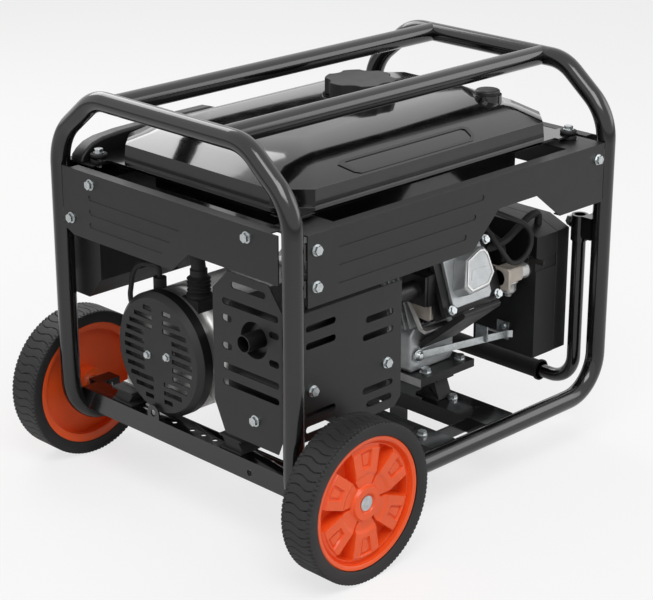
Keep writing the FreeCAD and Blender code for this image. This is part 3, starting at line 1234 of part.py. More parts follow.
# ------------------------------------------------------------------ write the parts
nodes = {
    "hoop_alternator_end": hoop_alternator_end, "hoop_recoil_end": hoop_recoil_end, "long_rails": long_rails,
    "end_beam": end_beam, "cross_members": cross_members, "support_leg": support_leg, "leg_feet": leg_feet,
    "axle_pins": axle_pins, "axle_clips": axle_clips, "tyre_engine_side": tyre_engine_side,
    "rim_engine_side": rim_engine_side, "tyre_panel_side": tyre_panel_side, "rim_panel_side": rim_panel_side,
    "handle_tube": handle_tube, "handle_grip": handle_grip, "panel_engine_side": panel_engine_side,
    "panel_alternator_end": panel_alternator_end, "panel_recoil_end": panel_recoil_end,
    "control_panel": control_panel, "control_box": control_box, "outlets": outlets,
    "switch_bezels": switch_bezels,
    "engine_switch": engine_switch, "breaker_switch": breaker_switch, "engine_mounts": engine_mounts,
    "crankcase": crankcase, "cylinder_head": cylinder_head, "valve_cover": valve_cover,
    "crankshaft": crankshaft, "flywheel": flywheel, "piston": piston, "connecting_rod": connecting_rod,
    "blower_housing": blower_housing, "recoil_housing": recoil_housing, "recoil_grip": recoil_grip,
    "oil_dipstick": oil_dipstick, "alternator_housing": alternator_housing, "stator": stator, "rotor": rotor,
    "alternator_cover": alternator_cover, "alternator_leads": alternator_leads, "muffler": muffler,
    "muffler_guard": muffler_guard, "fuel_tank": fuel_tank, "tank_bushings": tank_bushings,
    "fuel_cap": fuel_cap, "fuel_gauge": fuel_gauge, "fuel_valve": fuel_valve,
    "fuel_valve_lever": fuel_valve_lever, "fuel_hose": fuel_hose, "carburettor": carburettor,
    "choke_lever": choke_lever, "air_box": air_box, "air_box_cover": air_box_cover, "air_filter": air_filter,
    "air_box_stay": air_box_stay, "spark_plug": spark_plug, "spark_plug_lead": spark_plug_lead,
    "breather_hose": breather_hose,
}
moving = {"tyre_engine_side", "rim_engine_side", "tyre_panel_side", "rim_panel_side", "handle_tube", "handle_grip",
          "crankshaft", "flywheel", "rotor", "fuel_cap", "fuel_valve_lever", "choke_lever", "engine_switch",
          "breaker_switch", "recoil_grip", "oil_dipstick"}

for name, shape in nodes.items():
    if name in moving:
        continue
    near = [hole for hole in bolt_holes if hole.BoundBox.intersect(shape.BoundBox)]
    if near:
        nodes[name] = Part.makeCompound([solid for solid in shape.cut(Part.makeCompound(near)).Solids
                                         if solid.Volume > 1.0])
nodes["flange_bolts"] = Part.makeCompound(bolts)

os.makedirs("parts", exist_ok=True)
for name, shape in nodes.items():
    moved(shape, x=origin_shift).exportStep(f"parts/{name}.step")
print(len(nodes), "nodes, origin shift", origin_shift)
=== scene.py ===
import json
import math

import bmesh
import bpy
from mathutils import Matrix, Vector


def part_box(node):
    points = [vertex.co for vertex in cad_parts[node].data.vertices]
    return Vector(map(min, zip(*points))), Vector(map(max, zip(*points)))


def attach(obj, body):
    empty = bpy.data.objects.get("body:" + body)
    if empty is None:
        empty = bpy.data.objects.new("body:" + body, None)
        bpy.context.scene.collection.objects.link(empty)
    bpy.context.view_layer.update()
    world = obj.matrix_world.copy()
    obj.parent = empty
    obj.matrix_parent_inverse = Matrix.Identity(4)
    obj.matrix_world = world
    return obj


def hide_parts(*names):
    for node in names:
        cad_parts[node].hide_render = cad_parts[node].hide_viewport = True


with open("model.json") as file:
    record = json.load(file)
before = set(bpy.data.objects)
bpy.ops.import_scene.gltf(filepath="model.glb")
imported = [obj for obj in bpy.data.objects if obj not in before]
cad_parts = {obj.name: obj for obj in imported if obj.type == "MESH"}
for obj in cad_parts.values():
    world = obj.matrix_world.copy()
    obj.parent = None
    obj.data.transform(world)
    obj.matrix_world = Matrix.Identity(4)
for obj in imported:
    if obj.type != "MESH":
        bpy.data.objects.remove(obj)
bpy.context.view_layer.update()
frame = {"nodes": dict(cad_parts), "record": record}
NODES = frame["nodes"]
MM = 0.001
SHIFT = 19.0                     # the row frame's X against the middle of the tube frame, mm


def P(x, y, z):
    """Point in millimetres about the tube frame's middle, as metres in the row frame."""
    return Vector(((x + SHIFT) * MM, y * MM, z * MM))


bpy.context.scene.view_settings.view_transform = "Standard"


# ------------------------------------------------------------------ camera
cam_data = bpy.data.cameras.new("camera")
cam = bpy.data.objects.new("camera", cam_data)
bpy.context.scene.collection.objects.link(cam)
bpy.context.scene.camera = cam
cam_data.sensor_width = 36.0
cam_data.lens = 108.93
cam_data.clip_end = 50.0
back = Vector((-0.6597, -0.6651, 0.3500)).normalized()
right = Vector((0.7100, -0.7042, 0.0)).normalized()
up = back.cross(right)
cam.matrix_world = Matrix((
    (right.x, up.x, back.x, -2.0231), (right.y, up.y, back.y, -2.0336), (right.z, up.z, back.z, 1.3373),
    (0, 0, 0, 1)))


# ------------------------------------------------------------------ materials
def material(name, colour, rough=0.4, metal=0.0, coat=0.0, coat_rough=0.05, spec=0.5, grain=0.0, grain_scale=900.0,
             vary=0.15, vary_scale=14.0, rough_vary=0.08, wear=0.0, speck=None):
    """Procedural surface: colour drifts with noise, roughness varies, fine grain is bumped; the wear argument is not
    used.
    """
    m = bpy.data.materials.new(name)
    m.use_nodes = True
    nt = m.node_tree
    nodes, links = nt.nodes, nt.links
    nodes.clear()
    out = nodes.new("ShaderNodeOutputMaterial")
    b = nodes.new("ShaderNodeBsdfPrincipled")
    links.new(b.outputs[0], out.inputs[0])
    b.inputs["Metallic"].default_value = metal
    b.inputs["Specular IOR Level"].default_value = spec
    b.inputs["Coat Weight"].default_value = coat
    b.inputs["Coat Roughness"].default_value = coat_rough
    place = nodes.new("ShaderNodeTexCoord")
    n1 = nodes.new("ShaderNodeTexNoise")
    n1.inputs["Scale"].default_value = vary_scale
    n1.inputs["Detail"].default_value = 5.0
    links.new(place.outputs["Object"], n1.inputs["Vector"])
    ramp = nodes.new("ShaderNodeValToRGB")
    lo = [c * (1 - vary) for c in colour]
    hi = [min(1.0, c * (1 + vary)) for c in colour]
    ramp.color_ramp.elements[0].position = 0.3
    ramp.color_ramp.elements[0].color = (*lo, 1)
    ramp.color_ramp.elements[1].position = 0.7
    ramp.color_ramp.elements[1].color = (*hi, 1)
    links.new(n1.outputs["Fac"], ramp.inputs["Fac"])
    colour_out = ramp.outputs["Color"]
    if speck:
        n3 = nodes.new("ShaderNodeTexNoise")
        n3.inputs["Scale"].default_value = speck[1]
        n3.inputs["Detail"].default_value = 2.0
        links.new(place.outputs["Object"], n3.inputs["Vector"])
        r3 = nodes.new("ShaderNodeValToRGB")
        r3.color_ramp.elements[0].position = 0.45
        r3.color_ramp.elements[1].position = 0.75
        r3.color_ramp.elements[0].color = (0, 0, 0, 1)
        r3.color_ramp.elements[1].color = (speck[2], speck[2], speck[2], 1)
        links.new(n3.outputs["Fac"], r3.inputs["Fac"])
        mix = nodes.new("ShaderNodeMix")
        mix.data_type = "RGBA"
        links.new(r3.outputs["Color"], mix.inputs[0])
        links.new(colour_out, mix.inputs[6])
        mix.inputs[7].default_value = (*speck[0], 1)
        colour_out = mix.outputs[2]
    links.new(colour_out, b.inputs["Base Color"])
    n2 = nodes.new("ShaderNodeTexNoise")
    n2.inputs["Scale"].default_value = vary_scale * 2.7
    n2.inputs["Detail"].default_value = 6.0
    links.new(place.outputs["Object"], n2.inputs["Vector"])
    rr = nodes.new("ShaderNodeMapRange")
    rr.inputs["To Min"].default_value = max(0.02, rough - rough_vary)
    rr.inputs["To Max"].default_value = min(1.0, rough + rough_vary)
    links.new(n2.outputs["Fac"], rr.inputs["Value"])
    links.new(rr.outputs["Result"], b.inputs["Roughness"])
    if grain > 0:
        g = nodes.new("ShaderNodeTexNoise")
        g.inputs["Scale"].default_value = grain_scale
        g.inputs["Detail"].default_value = 3.0
        links.new(place.outputs["Object"], g.inputs["Vector"])
        bump = nodes.new("ShaderNodeBump")
        bump.inputs["Strength"].default_value = grain
        bump.inputs["Distance"].default_value = 0.0006
        links.new(g.outputs["Fac"], bump.inputs["Height"])
        links.new(bump.outputs["Normal"], b.inputs["Normal"])
    return m


M = {
    "tube": material("gloss_tube_paint", (0.0040, 0.0040, 0.0041), 0.16, coat=0.35, coat_rough=0.08, grain=0.03,
            grain_scale=260, vary=0.12),
    "panel": material("satin_panel_paint", (0.0055, 0.0055, 0.0056), 0.42, grain=0.06, grain_scale=1500, vary=0.10),
    "guard": material("guard_paint", (0.0040, 0.0040, 0.0041), 0.40, grain=0.08, grain_scale=1300, vary=0.14),
    "tank": material("tank_gloss", (0.0030, 0.0030, 0.0031), 0.13, coat=0.5, coat_rough=0.05, grain=0.02,
            grain_scale=180, vary=0.1),
    "plastic": material("black_plastic", (0.0050, 0.0050, 0.0051), 0.46, grain=0.14, grain_scale=1700, vary=0.12),
    "cap": material("cap_plastic", (0.0100, 0.0100, 0.0103), 0.50, grain=0.16, grain_scale=1700, vary=0.10),
    "tyre": material("tyre_rubber", (0.0090, 0.0090, 0.0092), 0.62, grain=0.18, grain_scale=800, vary=0.16),
    "orange": material("orange_plastic", (0.86, 0.098, 0.014), 0.34, grain=0.05, grain_scale=1200, vary=0.05,
            rough_vary=0.05),
    "rubber": material("soft_rubber", (0.0080, 0.0080, 0.0082), 0.66, grain=0.15, grain_scale=1200, vary=0.15),
    "foam": material("foam_grip", (0.0130, 0.0130, 0.0132), 0.85, grain=0.6, grain_scale=2200, vary=0.2, spec=0.3),
    "zinc": material("zinc_plate", (0.56, 0.59, 0.60), 0.30, metal=1.0, grain=0.06, grain_scale=1500, vary=0.14,
            vary_scale=120, rough_vary=0.1),
    "cast": material("cast_aluminium", (0.52, 0.54, 0.55), 0.42, metal=0.60, grain=0.35, grain_scale=1100,
            vary=0.10, vary_scale=60, rough_vary=0.1),
    "bright": material("machined_aluminium", (0.62, 0.62, 0.61), 0.34, metal=0.8, grain=0.1, grain_scale=900,
            vary=0.08, vary_scale=80),
    "beige": material("sand_cast_port", (0.55, 0.50, 0.44), 0.55, metal=0.3, grain=0.4, grain_scale=900,
            vary=0.10, vary_scale=50),
    "steel": material("dark_steel", (0.30, 0.30, 0.31), 0.38, metal=1.0, grain=0.08, grain_scale=900, vary=0.15,
            vary_scale=60),
    "brass": material("brass", (0.60, 0.42, 0.18), 0.35, metal=1.0, grain=0.1, grain_scale=900, vary=0.1,
            vary_scale=80),
    "black_metal": material("black_casting", (0.0090, 0.0090, 0.0092), 0.48, grain=0.25, grain_scale=1100, vary=0.15),
    "white": material("white_ceramic", (0.75, 0.75, 0.72), 0.25, grain=0.02, vary=0.03),
    "red": material("red_switch", (0.55, 0.02, 0.015), 0.35, grain=0.06, vary=0.06),
}
NODE_MATERIALS = {
    "tube": ["hoop_alternator_end", "hoop_recoil_end", "long_rails", "handle_tube", "end_beam", "cross_members",
            "support_leg"],
    "panel": ["panel_engine_side", "panel_alternator_end", "panel_recoil_end", "control_panel"],
    "guard": ["muffler_guard", "muffler"],
    "tank": ["fuel_tank"],
    "plastic": ["control_box", "blower_housing", "recoil_housing", "air_box", "air_box_cover",
            "alternator_cover", "recoil_grip",
                "oil_dipstick", "outlets", "switch_bezels", "breaker_switch", "fuel_gauge", "choke_lever",
                        "fuel_valve_lever"],
    "cap": ["fuel_cap"],
    "tyre": ["tyre_engine_side", "tyre_panel_side"],
    "orange": ["rim_engine_side", "rim_panel_side"],
    "rubber": ["tank_bushings", "engine_mounts", "leg_feet", "alternator_leads", "spark_plug_lead",
            "breather_hose", "fuel_hose"],
    "foam": ["handle_grip", "air_filter"],
    "zinc": ["flange_bolts", "axle_pins", "axle_clips", "air_box_stay", "spark_plug"],
    "cast": ["crankcase", "valve_cover", "piston"],
    "bright": ["carburettor", "alternator_housing"],
    "black_metal": ["cylinder_head"],
    "steel": ["crankshaft", "flywheel", "rotor", "stator", "connecting_rod"],
    "brass": ["fuel_valve"],
    "red": ["engine_switch"],
}
for key, names in NODE_MATERIALS.items():
    for n in names:
        o = NODES[n]
        o.data.materials.clear()
        o.data.materials.append(M[key])

# ------------------------------------------------------------------ looks built on the CAD shapes
BODY = {n: b for b, ns in frame["record"]["behaviour"]["bodies"].items() for n in ns}


def put(o, body, mat, smooth=True):
    if o.name not in bpy.context.scene.collection.objects:
        bpy.context.scene.collection.objects.link(o)
    o.data.materials.clear()
    o.data.materials.append(M[mat] if isinstance(mat, str) else mat)
    if smooth:
        o.data.polygons.foreach_set("use_smooth", [True] * len(o.data.polygons))
    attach(o, body)
    return o


def edges_rounded(o, width, segments=2, angle=35):
    """Rolled edges: an edge bevel in millimetres, with the flat faces kept flat."""
    b = o.modifiers.new("edges", "BEVEL")
    b.width = width * MM
    b.segments = segments
    b.limit_method = "ANGLE"
    b.angle_limit = math.radians(angle)
    b.harden_normals = False
    b.use_clamp_overlap = True
    w = o.modifiers.new("normals", "WEIGHTED_NORMAL")
    w.keep_sharp = True
    return o


def soften(node, width, segments=2, angle=35):
    """A copy of a CAD node with rounded edges stands for it."""
    src = NODES[node]
    me = src.data.copy()
    bm = bmesh.new()
    bm.from_mesh(me)
    bmesh.ops.remove_doubles(bm, verts=bm.verts, dist=0.00002)
    bmesh.ops.dissolve_limit(bm, angle_limit=math.radians(0.6), verts=bm.verts, edges=bm.edges)
    for e in bm.edges:
        e.smooth = not (len(e.link_faces) == 2 and e.calc_face_angle(0.0) > math.radians(angle) and width <= 0)
    bm.to_mesh(me)
    bm.free()
    o = bpy.data.objects.new(node + "_shaped", me)
    mat = me.materials[0]
    put(o, BODY[node], mat)
    edges_rounded(o, width, segments, angle)
    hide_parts(node)
    return o


SOFT = {
    "fuel_tank": (5.0, 4), "fuel_cap": (2.5, 3), "panel_engine_side": (0.8, 2), "panel_alternator_end": (0.8, 2),
    "panel_recoil_end": (0.8, 2), "control_panel": (0.8, 2), "muffler_guard": (0.8, 2), "control_box": (1.5, 2),
    "outlets": (1.0, 2), "switch_bezels": (0.6, 2), "engine_switch": (0.6, 2), "breaker_switch": (0.6, 2),
    "crankcase": (2.0, 3), "cylinder_head": (0.7, 2), "alternator_housing": (1.2, 2), "alternator_cover": (1.2, 2),
    "air_box": (3.0, 3), "air_box_cover": (3.0, 3), "end_beam": (1.0, 2), "cross_members": (1.0, 2),
    "blower_housing": (1.5, 2), "recoil_housing": (1.5, 2), "recoil_grip": (2.0, 3), "muffler": (1.0, 2),
    "air_box_stay": (0.5, 2), "flange_bolts": (0.5, 2), "axle_pins": (1.2, 3), "fuel_gauge": (0.8, 2),
    "tank_bushings": (1.5, 3), "engine_mounts": (1.0, 2), "support_leg": (0.5, 2),
}
for name, (width, segs) in SOFT.items():
    soften(name, width, segs)


def mesh_piece(name, verts, faces, body, mat, smooth=True, width=0.0, segs=2):
    me = bpy.data.meshes.new(name)
    me.from_pydata([tuple(v) for v in verts], [], faces)
    me.validate()
    bm = bmesh.new()
    bm.from_mesh(me)
    bmesh.ops.remove_doubles(bm, verts=bm.verts, dist=0.000005)
    bmesh.ops.recalc_face_normals(bm, faces=bm.faces)
    bm.to_mesh(me)
    bm.free()
    o = bpy.data.objects.new(name, me)
    put(o, body, mat, smooth)
    if width > 0:
        edges_rounded(o, width, segs)
    return o


def slab(name, loops, body, mat, width=1.0, segs=2):
    """Solid skinned through a list of equal loops of points, closed at both ends."""
    n = len(loops[0])
    verts = [v for loop in loops for v in loop]
    faces = [list(range(n))[::-1], [(len(loops) - 1) * n + i for i in range(n)]]
    for k in range(len(loops) - 1):
        for i in range(n):
            j = (i + 1) % n
            faces.append([k * n + i, k * n + j, (k + 1) * n + j, (k + 1) * n + i])
    return mesh_piece(name, verts, faces, body, mat, True, width, segs)


# ---- tyres: flat tread crossed by wavy cuts, toothed shoulders
TYRE_R, RIM_R, HALF, WHEEL_Y, AXLE_X, AXLE_Z = 118.0, 99.0, 28.0, 304.8, -270.0, 118.0


def tyre(side, body):
    steps = 960
    tread = [(-HALF + 1.2 + i * (2 * HALF - 2.4) / 26) for i in range(27)]
    prof = [(RIM_R, -HALF + 3), (RIM_R + 3, -HALF + 1.4), (TYRE_R - 8, -HALF + 0.2), (TYRE_R - 4.5, -HALF),
            (TYRE_R - 1.0, -HALF + 0.3)]
    prof += [(TYRE_R, a) for a in tread] + [(r, -a) for r, a in reversed(prof)]
    verts, faces = [], []
    cuts = 54
    for s in range(steps):
        th = 2 * math.pi * s / steps
        for r, a in prof:
            rr = r
            if r >= TYRE_R - 1.1:
                phase = (th * cuts / (2 * math.pi) + 0.16 * math.sin(a / HALF * math.pi * 1.5)) % 1.0
                d = abs(phase - 0.5)
                inside = max(0.0, 1 - max(0.0, d - 0.035) / 0.03)
                if abs(a) < HALF - 6:
                    rr -= 1.6 * inside
                teeth = (th * cuts * 2 / (2 * math.pi)) % 1.0
                if abs(a) > HALF - 5.5:
                    rr -= 1.5 * max(0.0, 1 - max(0.0, abs(teeth - 0.5) - 0.12) / 0.08)
            verts.append(P(AXLE_X + rr * math.sin(th), side * WHEEL_Y + side * a, AXLE_Z + rr * math.cos(th)))
    n = len(prof)
    for s in range(steps):
        t = (s + 1) % steps
        for i in range(n - 1):
            faces.append([s * n + i, s * n + i + 1, t * n + i + 1, t * n + i])
        faces.append([s * n + n - 1, s * n, t * n, t * n + n - 1])
    o = mesh_piece("tyre_tread_" + body, verts, faces, body, "tyre", True)
    o.data.set_sharp_from_angle(angle=math.radians(32))
    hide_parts("tyre_" + body.replace("wheel_", ""))


# ---- wheel centres: six petals with raised panels, deep triangular pockets between them
def ramp(v, lo, hi):
    t = min(1.0, max(0.0, (v - lo) / (hi - lo)))
    return t * t * (3 - 2 * t)


def rim(side, body):
    steps = 720
    face_y = HALF - 10.0
    radii = [9.2 + i * 1.0 for i in range(int((90 - 9.2)) + 1)] + [90.5]
    verts, faces = [], []

    def depth(r, th):
        sector = (th * 6 / (2 * math.pi)) % 1.0
        from_gap = abs(sector - 0.5) * 2 * math.pi / 6 * r          # distance from the pocket's middle line
        from_petal = min(sector, 1 - sector) * 2 * math.pi / 6 * r  # distance from the petal's middle line
        z = 0.0
        pocket_half = 1.4 + 0.36 * max(0.0, r - 42.0) if r > 42 else 1.4
        inside = 1 - ramp(from_gap, pocket_half - 0.9, pocket_half + 0.9)
        inside *= ramp(r, 27, 28.5) * (1 - ramp(r, 83, 85.5))
        z -= (17.0 if r > 44 else 5.0 + 12.0 * ramp(r, 36, 44)) * inside
        half = 7.0 + 0.16 * (r - 54.0)
        edge = min(half - from_petal, r - 54.0, 79.0 - r)
        z -= 3.6 * ramp(edge, -0.6, 0.7) - 1.6 * ramp(edge, 2.6, 3.6)
        z += 2.6 * ramp(r, 40.0, 47.0) * (1 - ramp(r, 81.0, 83.0)) * (1 - inside)
        z += 5.0 * (1 - ramp(r, 24.0, 27.0))
        z -= 3.0 * (1 - ramp(r, 13.5, 15.5))
        z -= 3.0 * ramp(r, 84.0, 90.0)
        return z
    n = len(radii)
    for s in range(steps):
        th = 2 * math.pi * s / steps
        for r in radii:
            a = face_y + depth(r, th)
            verts.append(P(AXLE_X + r * math.sin(th), side * (WHEEL_Y + a), AXLE_Z + r * math.cos(th)))
    for s in range(steps):
        t = (s + 1) % steps
        for i in range(n - 1):
            faces.append([s * n + i, s * n + i + 1, t * n + i + 1, t * n + i])
    base = len(verts)
    ringp = [(90.5, face_y - 3.0), (91.5, HALF - 5.5), (93.2, HALF - 4.2), (97.0, HALF - 3.6), (RIM_R - 0.3,
            HALF - 5.0),
             (RIM_R - 0.3, -HALF + 4), (RIM_R - 5, -HALF + 4), (87, -HALF + 8), (89, face_y - 22), (24, face_y - 22),
             (24, HALF - 11 - 43), (9.2, HALF - 11 - 43), (9.2, face_y + 2)]
    m = len(ringp)
    for s in range(steps):
        th = 2 * math.pi * s / steps
        for r, a in ringp:
            verts.append(P(AXLE_X + r * math.sin(th), side * (WHEEL_Y + a), AXLE_Z + r * math.cos(th)))
    for s in range(steps):
        t = (s + 1) % steps
        for i in range(m - 1):
            faces.append([base + s * m + i, base + s * m + i + 1, base + t * m + i + 1, base + t * m + i])
    o = mesh_piece("rim_petals_" + body, verts, faces, body, "orange", True)
    o.data.set_sharp_from_angle(angle=math.radians(40))
    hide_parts("rim_" + body.replace("wheel_", ""))


for side, body in ((-1, "wheel_engine_side"), (1, "wheel_panel_side")):
    tyre(side, body)
    rim(side, body)

def disc_stack(name, centre, levels, body, mat, axis="z", n=48):
    loops = []
    for r, h in levels:
        ring = []
        for i in range(n):
            t = 2 * math.pi * i / n
            if axis == "z":
                ring.append(P(centre[0] + r * math.cos(t), centre[1] + r * math.sin(t), centre[2] + h))
            elif axis == "x":
                ring.append(P(centre[0] + h, centre[1] + r * math.cos(t), centre[2] + r * math.sin(t)))
            else:
                ring.append(P(centre[0] + r * math.cos(t), centre[1] + h, centre[2] + r * math.sin(t)))
        loops.append(ring)
    return slab(name, loops, body, mat, 0.0)


# ---- valve cover: narrower pressed box with a raised border on its face
TILT = math.radians(19.5)
CRANK = (115.5, 65.0, 237.3)


def along(s, a, x=0.0):
    return P(CRANK[0] + x, CRANK[1] - s * math.cos(TILT) + a * math.sin(TILT),
             CRANK[2] + s * math.sin(TILT) + a * math.cos(TILT))


FACE = [(-35, -17), (-26, -28.5), (16, -25.6), (34, -9), (30, 24), (24, 32), (13, 33), (-19, 22)]


def grown(points, k):
    cx, cy = 0.0, 2.0
    return [(cx + (x - cx) * k, cy + (y - cy) * k) for x, y in points]


slab("valve_cover_flange", [[along(s, a, x) for x, a in ((-44.5, -40), (-38, -47), (38, -47), (44.5, -40), (44.5, 40),
     (36, 49), (-36, 49), (-44.5, 36))] for s in (235.0, 242.0)], "frame", "cast", 1.5, 3)
cover = slab("valve_cover_box", [[along(s, a, x) for x, a in grown(FACE, k)] for s, k in
             ((241.0, 1.13), (250.0, 1.10), (264.0, 1.06), (267.6, 0.985))], "frame", "cast",
                     2.2, 3)
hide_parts("valve_cover")
loops_o = [along(268.9, a, x) for x, a in grown(FACE, 0.93)]
loops_i = [along(268.9, a, x) for x, a in grown(FACE, 0.84)]
low_o = [along(267.0, a, x) for x, a in grown(FACE, 0.95)]
low_i = [along(267.0, a, x) for x, a in grown(FACE, 0.82)]
v = low_o + loops_o + loops_i + low_i
f = []
for k in range(3):
    for i in range(8):
        j = (i + 1) % 8
        f.append([k * 8 + i, k * 8 + j, (k + 1) * 8 + j, (k + 1) * 8 + i])
mesh_piece("valve_cover_border", v, f, "frame", "bright", True, 0.4)
slab("valve_cover_plain_plate", [[along(s, a, x) for x, a in grown([(-20, -10), (18, -8), (21, 4), (-14, 5)], 1.0)]
     for s in (267.4, 268.2)], "frame", "cast", 0.5)

# ---- head surroundings: exhaust port casting, bright shroud rim, black air duct
slab("exhaust_port_face", [[P(x, y, z) for y, z in ((-147, 252), (-147, 316), (-140, 321), (-112, 321), (-108, 314),
     (-108, 258), (-113, 250), (-141, 249))] for x in (52.0, 60.5)], "frame", "beige", 2.0, 3)
slab("shroud_rim_side", [[P(x, y, z) for y, z in ((-104, 276), (-109, 280), (-138, 238), (-131, 233))]
     for x in (44.0, 47.0)], "frame", "bright", 0.6)
slab("shroud_rim_low", [[P(x, y, z) for y, z in ((-131, 233), (-138, 238), (-148, 236), (-143, 230))]
     for x in (44.0, 98.0)], "frame", "bright", 0.6)
slab("cooling_duct", [[P(x, y, z) for y, z in ((-106, 187), (-196, 262), (-198, 268), (-192, 272), (-106, 200))]
     for x in (74.0, 158.0)], "frame", "plastic", 1.5, 3)

# ---- shaped cover behind the tank on the control side
arc = [(-318, 503), (-316, 512), (-308, 521), (-296, 529), (-276, 534.5), (-240, 538), (-120, 541), (-60, 541),
        (-40, 534),
       (-36, 503)]
slab("control_box_top_cover", [[P(x + dx, y, 503 + (z - 503) * k) for x, z in arc] for y, k, dx in
     ((219, 0.90, 1), (222, 1.0, 0), (243, 0.96, 0), (247, 0.86, 1))], "frame", "plastic", 2.0, 3)

# ---- crankcase boss with the zinc strap that stays the air box, and the collars at the grip's ends
slab("crankcase_boss", [[P(x, y, z) for x, z in ((58, 150), (150, 150), (156, 158), (156, 214), (148, 224), (64, 224),
     (54, 212), (54, 158))] for y in (-60.0, -104.0)], "frame", "cast", 4.0, 3)
slab("air_box_strap", [[P(x, y, z) for y, z in ((y0 - 1.5, 171), (y0 + 1.5, 171), (y0 + 1.5, 183), (y0 - 1.5, 183))]
     for x, y0 in ((60, -106), (84, -107), (240, -141), (248, -148))], "frame", "zinc", 0.6)
disc_stack("strap_bolt", (70, -108, 178), [(9, 0), (9, -2.0), (6.2, -2.2), (6.2, -7), (4.8, -8)], "frame",
        "zinc",
           "y", 6)
disc_stack("strap_washer", (70, -107.4, 178), [(10.5, 0), (10.5, -1.4), (9.8, -1.8)], "frame", "zinc", "y")
for side in (-1, 1):
    grip_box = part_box("handle_grip")
    gy = (grip_box[1].y if side > 0 else grip_box[0].y) / MM
    gz = (grip_box[0].z + grip_box[1].z) / 2 / MM
    gx = (grip_box[0].x + grip_box[1].x) / 2 / MM - SHIFT
    disc_stack("grip_collar_" + ("near" if side < 0 else "far"), (gx, gy, gz),
               [(15.4, -side * 6.0), (17.2, -side * 5.0), (17.6, -side * 3.5), (17.6, -side * 0.8), (17, 0)],
               "handle", "foam", "y")

# ---- the engine's feet are painted black
case = bpy.data.objects["crankcase_shaped"]
case.data.materials.append(M["plastic"])
for p in case.data.polygons:
    c = p.center
    if c.z < 0.1515 and (c.y < -0.068 or c.y > 0.171):
        p.material_index = 1

# ---- raised border of the bare panel on the tank's near slope
def slope(x, t, lift):
    return P(x, -198 + 30 * t - 0.535 * lift, 538 + 19 * t + 0.845 * lift)


PANEL = [(-150, 0.10), (86, 0.10), (96, 0.30), (96, 0.80), (86, 0.95), (-168, 0.95), (-176, 0.80), (-160, 0.24)]
inner = [(-142, 0.22), (82, 0.22), (88, 0.36), (88, 0.74), (82, 0.84), (-160, 0.84), (-164, 0.76), (-152, 0.34)]
v = [slope(x, t, -0.3) for x, t in PANEL] + [slope(x, t, 1.5) for x, t in PANEL]
v += [slope(x, t, 1.5) for x, t in inner] + [slope(x, t, -0.3) for x, t in inner]
f = []
for k in range(3):
    for i in range(8):
        j = (i + 1) % 8
        f.append([k * 8 + i, k * 8 + j, (k + 1) * 8 + j, (k + 1) * 8 + i])
mesh_piece("tank_panel_border", v, f, "frame", "tank", True, 0.5)

# ---- carburettor: small beige body over a plated bowl
CARB = (214.0, -165.0, 292.0)
carb = slab("carburettor_body", [[P(CARB[0] + x * k, CARB[1] + y * k, CARB[2] + z) for x, y in ((-15, -16), (15, -16),
            (18, -12), (18, 14), (-18, 14), (-18, -12))] for z, k in ((-10, 0.94), (-7, 1.0), (8, 1.0), (14, 0.86))],
            "frame", "beige", 1.6, 3)
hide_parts("carburettor")
disc_stack("carburettor_throat", CARB, [(13, -26), (13.6, -22), (13.6, 30), (15, 31), (15, 36)], "frame",
           "bright", "x")
disc_stack("carburettor_bowl", CARB, [(14.5, -10), (14.5, -13), (12.2, -14), (12.0, -26), (9.5, -30), (5.5, -31),
           (5.5, -36), (4.0, -37)], "frame", "bright")
slab("carburettor_gasket", [[P(CARB[0] + h, CARB[1] + y, CARB[2] + z) for y, z in ((-22, -15), (-18, -18), (18, -18),
     (22, -15), (22, 15), (18, 18), (-18, 18), (-22, 15))] for h in (-26, -21)], "frame",
             "beige", 1.0)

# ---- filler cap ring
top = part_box("fuel_cap")[1].z / MM
CAP = (55.0, 8.0, top)
ring_v, ring_f, nseg = [], [], 96
for i in range(nseg):
    t = 2 * math.pi * i / nseg
    for r, h in ((25, -0.5), (26, -0.05), (30, -0.05), (31, -0.5), (31, -2.0), (25, -2.0)):
        ring_v.append(P(CAP[0] + r * math.cos(t), CAP[1] + r * math.sin(t), CAP[2] + h))
for i in range(nseg):
    j = (i + 1) % nseg
    for k in range(6):
        ring_f.append([i * 6 + k, i * 6 + (k + 1) % 6, j * 6 + (k + 1) % 6, j * 6 + k])
mesh_piece("filler_cap_ring", ring_v, ring_f, "fuel_cap", "cap")


# ------------------------------------------------------------------ stage and light
def stage_material(name, colour):
    m = bpy.data.materials.new(name)
    m.use_nodes = True
    nodes, links = m.node_tree.nodes, m.node_tree.links
    b = nodes["Principled BSDF"]
    b.inputs["Base Color"].default_value = (*colour, 1)
    b.inputs["Roughness"].default_value = 0.9
    b.inputs["Specular IOR Level"].default_value = 0.1
    return m


floor_mesh = bpy.data.meshes.new("floor")
bm = bmesh.new()
bmesh.ops.create_circle(bm, cap_ends=True, radius=14.0, segments=96)
bm.to_mesh(floor_mesh)
bm.free()
floor = bpy.data.objects.new("floor", floor_mesh)
bpy.context.scene.collection.objects.link(floor)
floor_mat = stage_material("floor_white", (0.95, 0.95, 0.95))
fn, flk = floor_mat.node_tree.nodes, floor_mat.node_tree.links
f_out = [n for n in fn if n.type == "OUTPUT_MATERIAL"][0]
f_emit = fn.new("ShaderNodeEmission")
f_emit.inputs["Color"].default_value = (1, 1, 1, 1)
f_emit.inputs["Strength"].default_value = 1.0
f_mix = fn.new("ShaderNodeMixShader")
f_path = fn.new("ShaderNodeLightPath")
f_half = fn.new("ShaderNodeMath")
f_half.operation = "MULTIPLY"
f_half.inputs[1].default_value = 0.72
flk.new(f_path.outputs["Is Camera Ray"], f_half.inputs[0])
flk.new(f_half.outputs[0], f_mix.inputs[0])
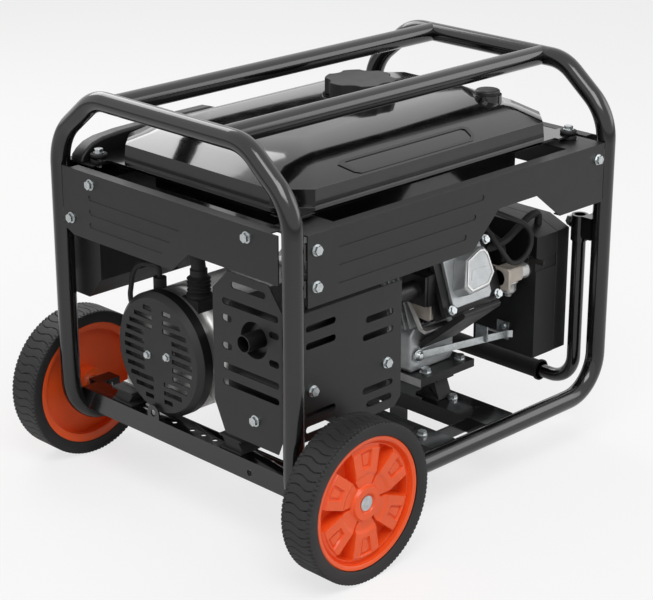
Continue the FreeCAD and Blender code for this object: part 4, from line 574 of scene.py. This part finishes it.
flk.new(fn["Principled BSDF"].outputs[0], f_mix.inputs[1])
flk.new(f_emit.outputs[0], f_mix.inputs[2])
flk.new(f_mix.outputs[0], f_out.inputs[0])
floor.data.materials.append(floor_mat)

world = bpy.data.worlds.new("world")
bpy.context.scene.world = world
world.use_nodes = True
wn, wl = world.node_tree.nodes, world.node_tree.links
wn.clear()
w_out = wn.new("ShaderNodeOutputWorld")
w_bg = wn.new("ShaderNodeBackground")
w_white = wn.new("ShaderNodeBackground")
w_mix = wn.new("ShaderNodeMixShader")
w_path = wn.new("ShaderNodeLightPath")
w_bg.inputs["Color"].default_value = (0.93, 0.93, 0.93, 1)
w_bg.inputs["Strength"].default_value = 0.40
w_white.inputs["Color"].default_value = (1, 1, 1, 1)
w_white.inputs["Strength"].default_value = 1.0
w_seen = wn.new("ShaderNodeMath")
w_seen.operation = "MAXIMUM"
wl.new(w_path.outputs["Is Camera Ray"], w_seen.inputs[0])
wl.new(w_path.outputs["Is Transmission Ray"], w_seen.inputs[1])
w_shiny = wn.new("ShaderNodeMath")
w_shiny.operation = "MAXIMUM"
wl.new(w_seen.outputs[0], w_shiny.inputs[0])
wl.new(w_path.outputs["Is Glossy Ray"], w_shiny.inputs[1])
wl.new(w_shiny.outputs[0], w_mix.inputs[0])
wl.new(w_bg.outputs[0], w_mix.inputs[1])
wl.new(w_white.outputs[0], w_mix.inputs[2])
wl.new(w_mix.outputs[0], w_out.inputs[0])


def area(name, place, target, size, power, size_y=None):
    data = bpy.data.lights.new(name, "AREA")
    data.energy = power
    data.size = size
    if size_y:
        data.shape = "RECTANGLE"
        data.size_y = size_y
    o = bpy.data.objects.new(name, data)
    o.location = place
    o.rotation_mode = "QUATERNION"
    o.rotation_quaternion = (Vector(target) - Vector(place)).to_track_quat("-Z", "Y")
    bpy.context.scene.collection.objects.link(o)
    return o


area("key", (-1.2, -1.4, 2.6), (0, 0, 0.3), 1.6, 42)
area("fill", (2.4, -1.8, 1.6), (0, 0, 0.3), 1.8, 20)
area("rim", (0.5, 2.4, 2.2), (0, 0, 0.4), 1.6, 26)
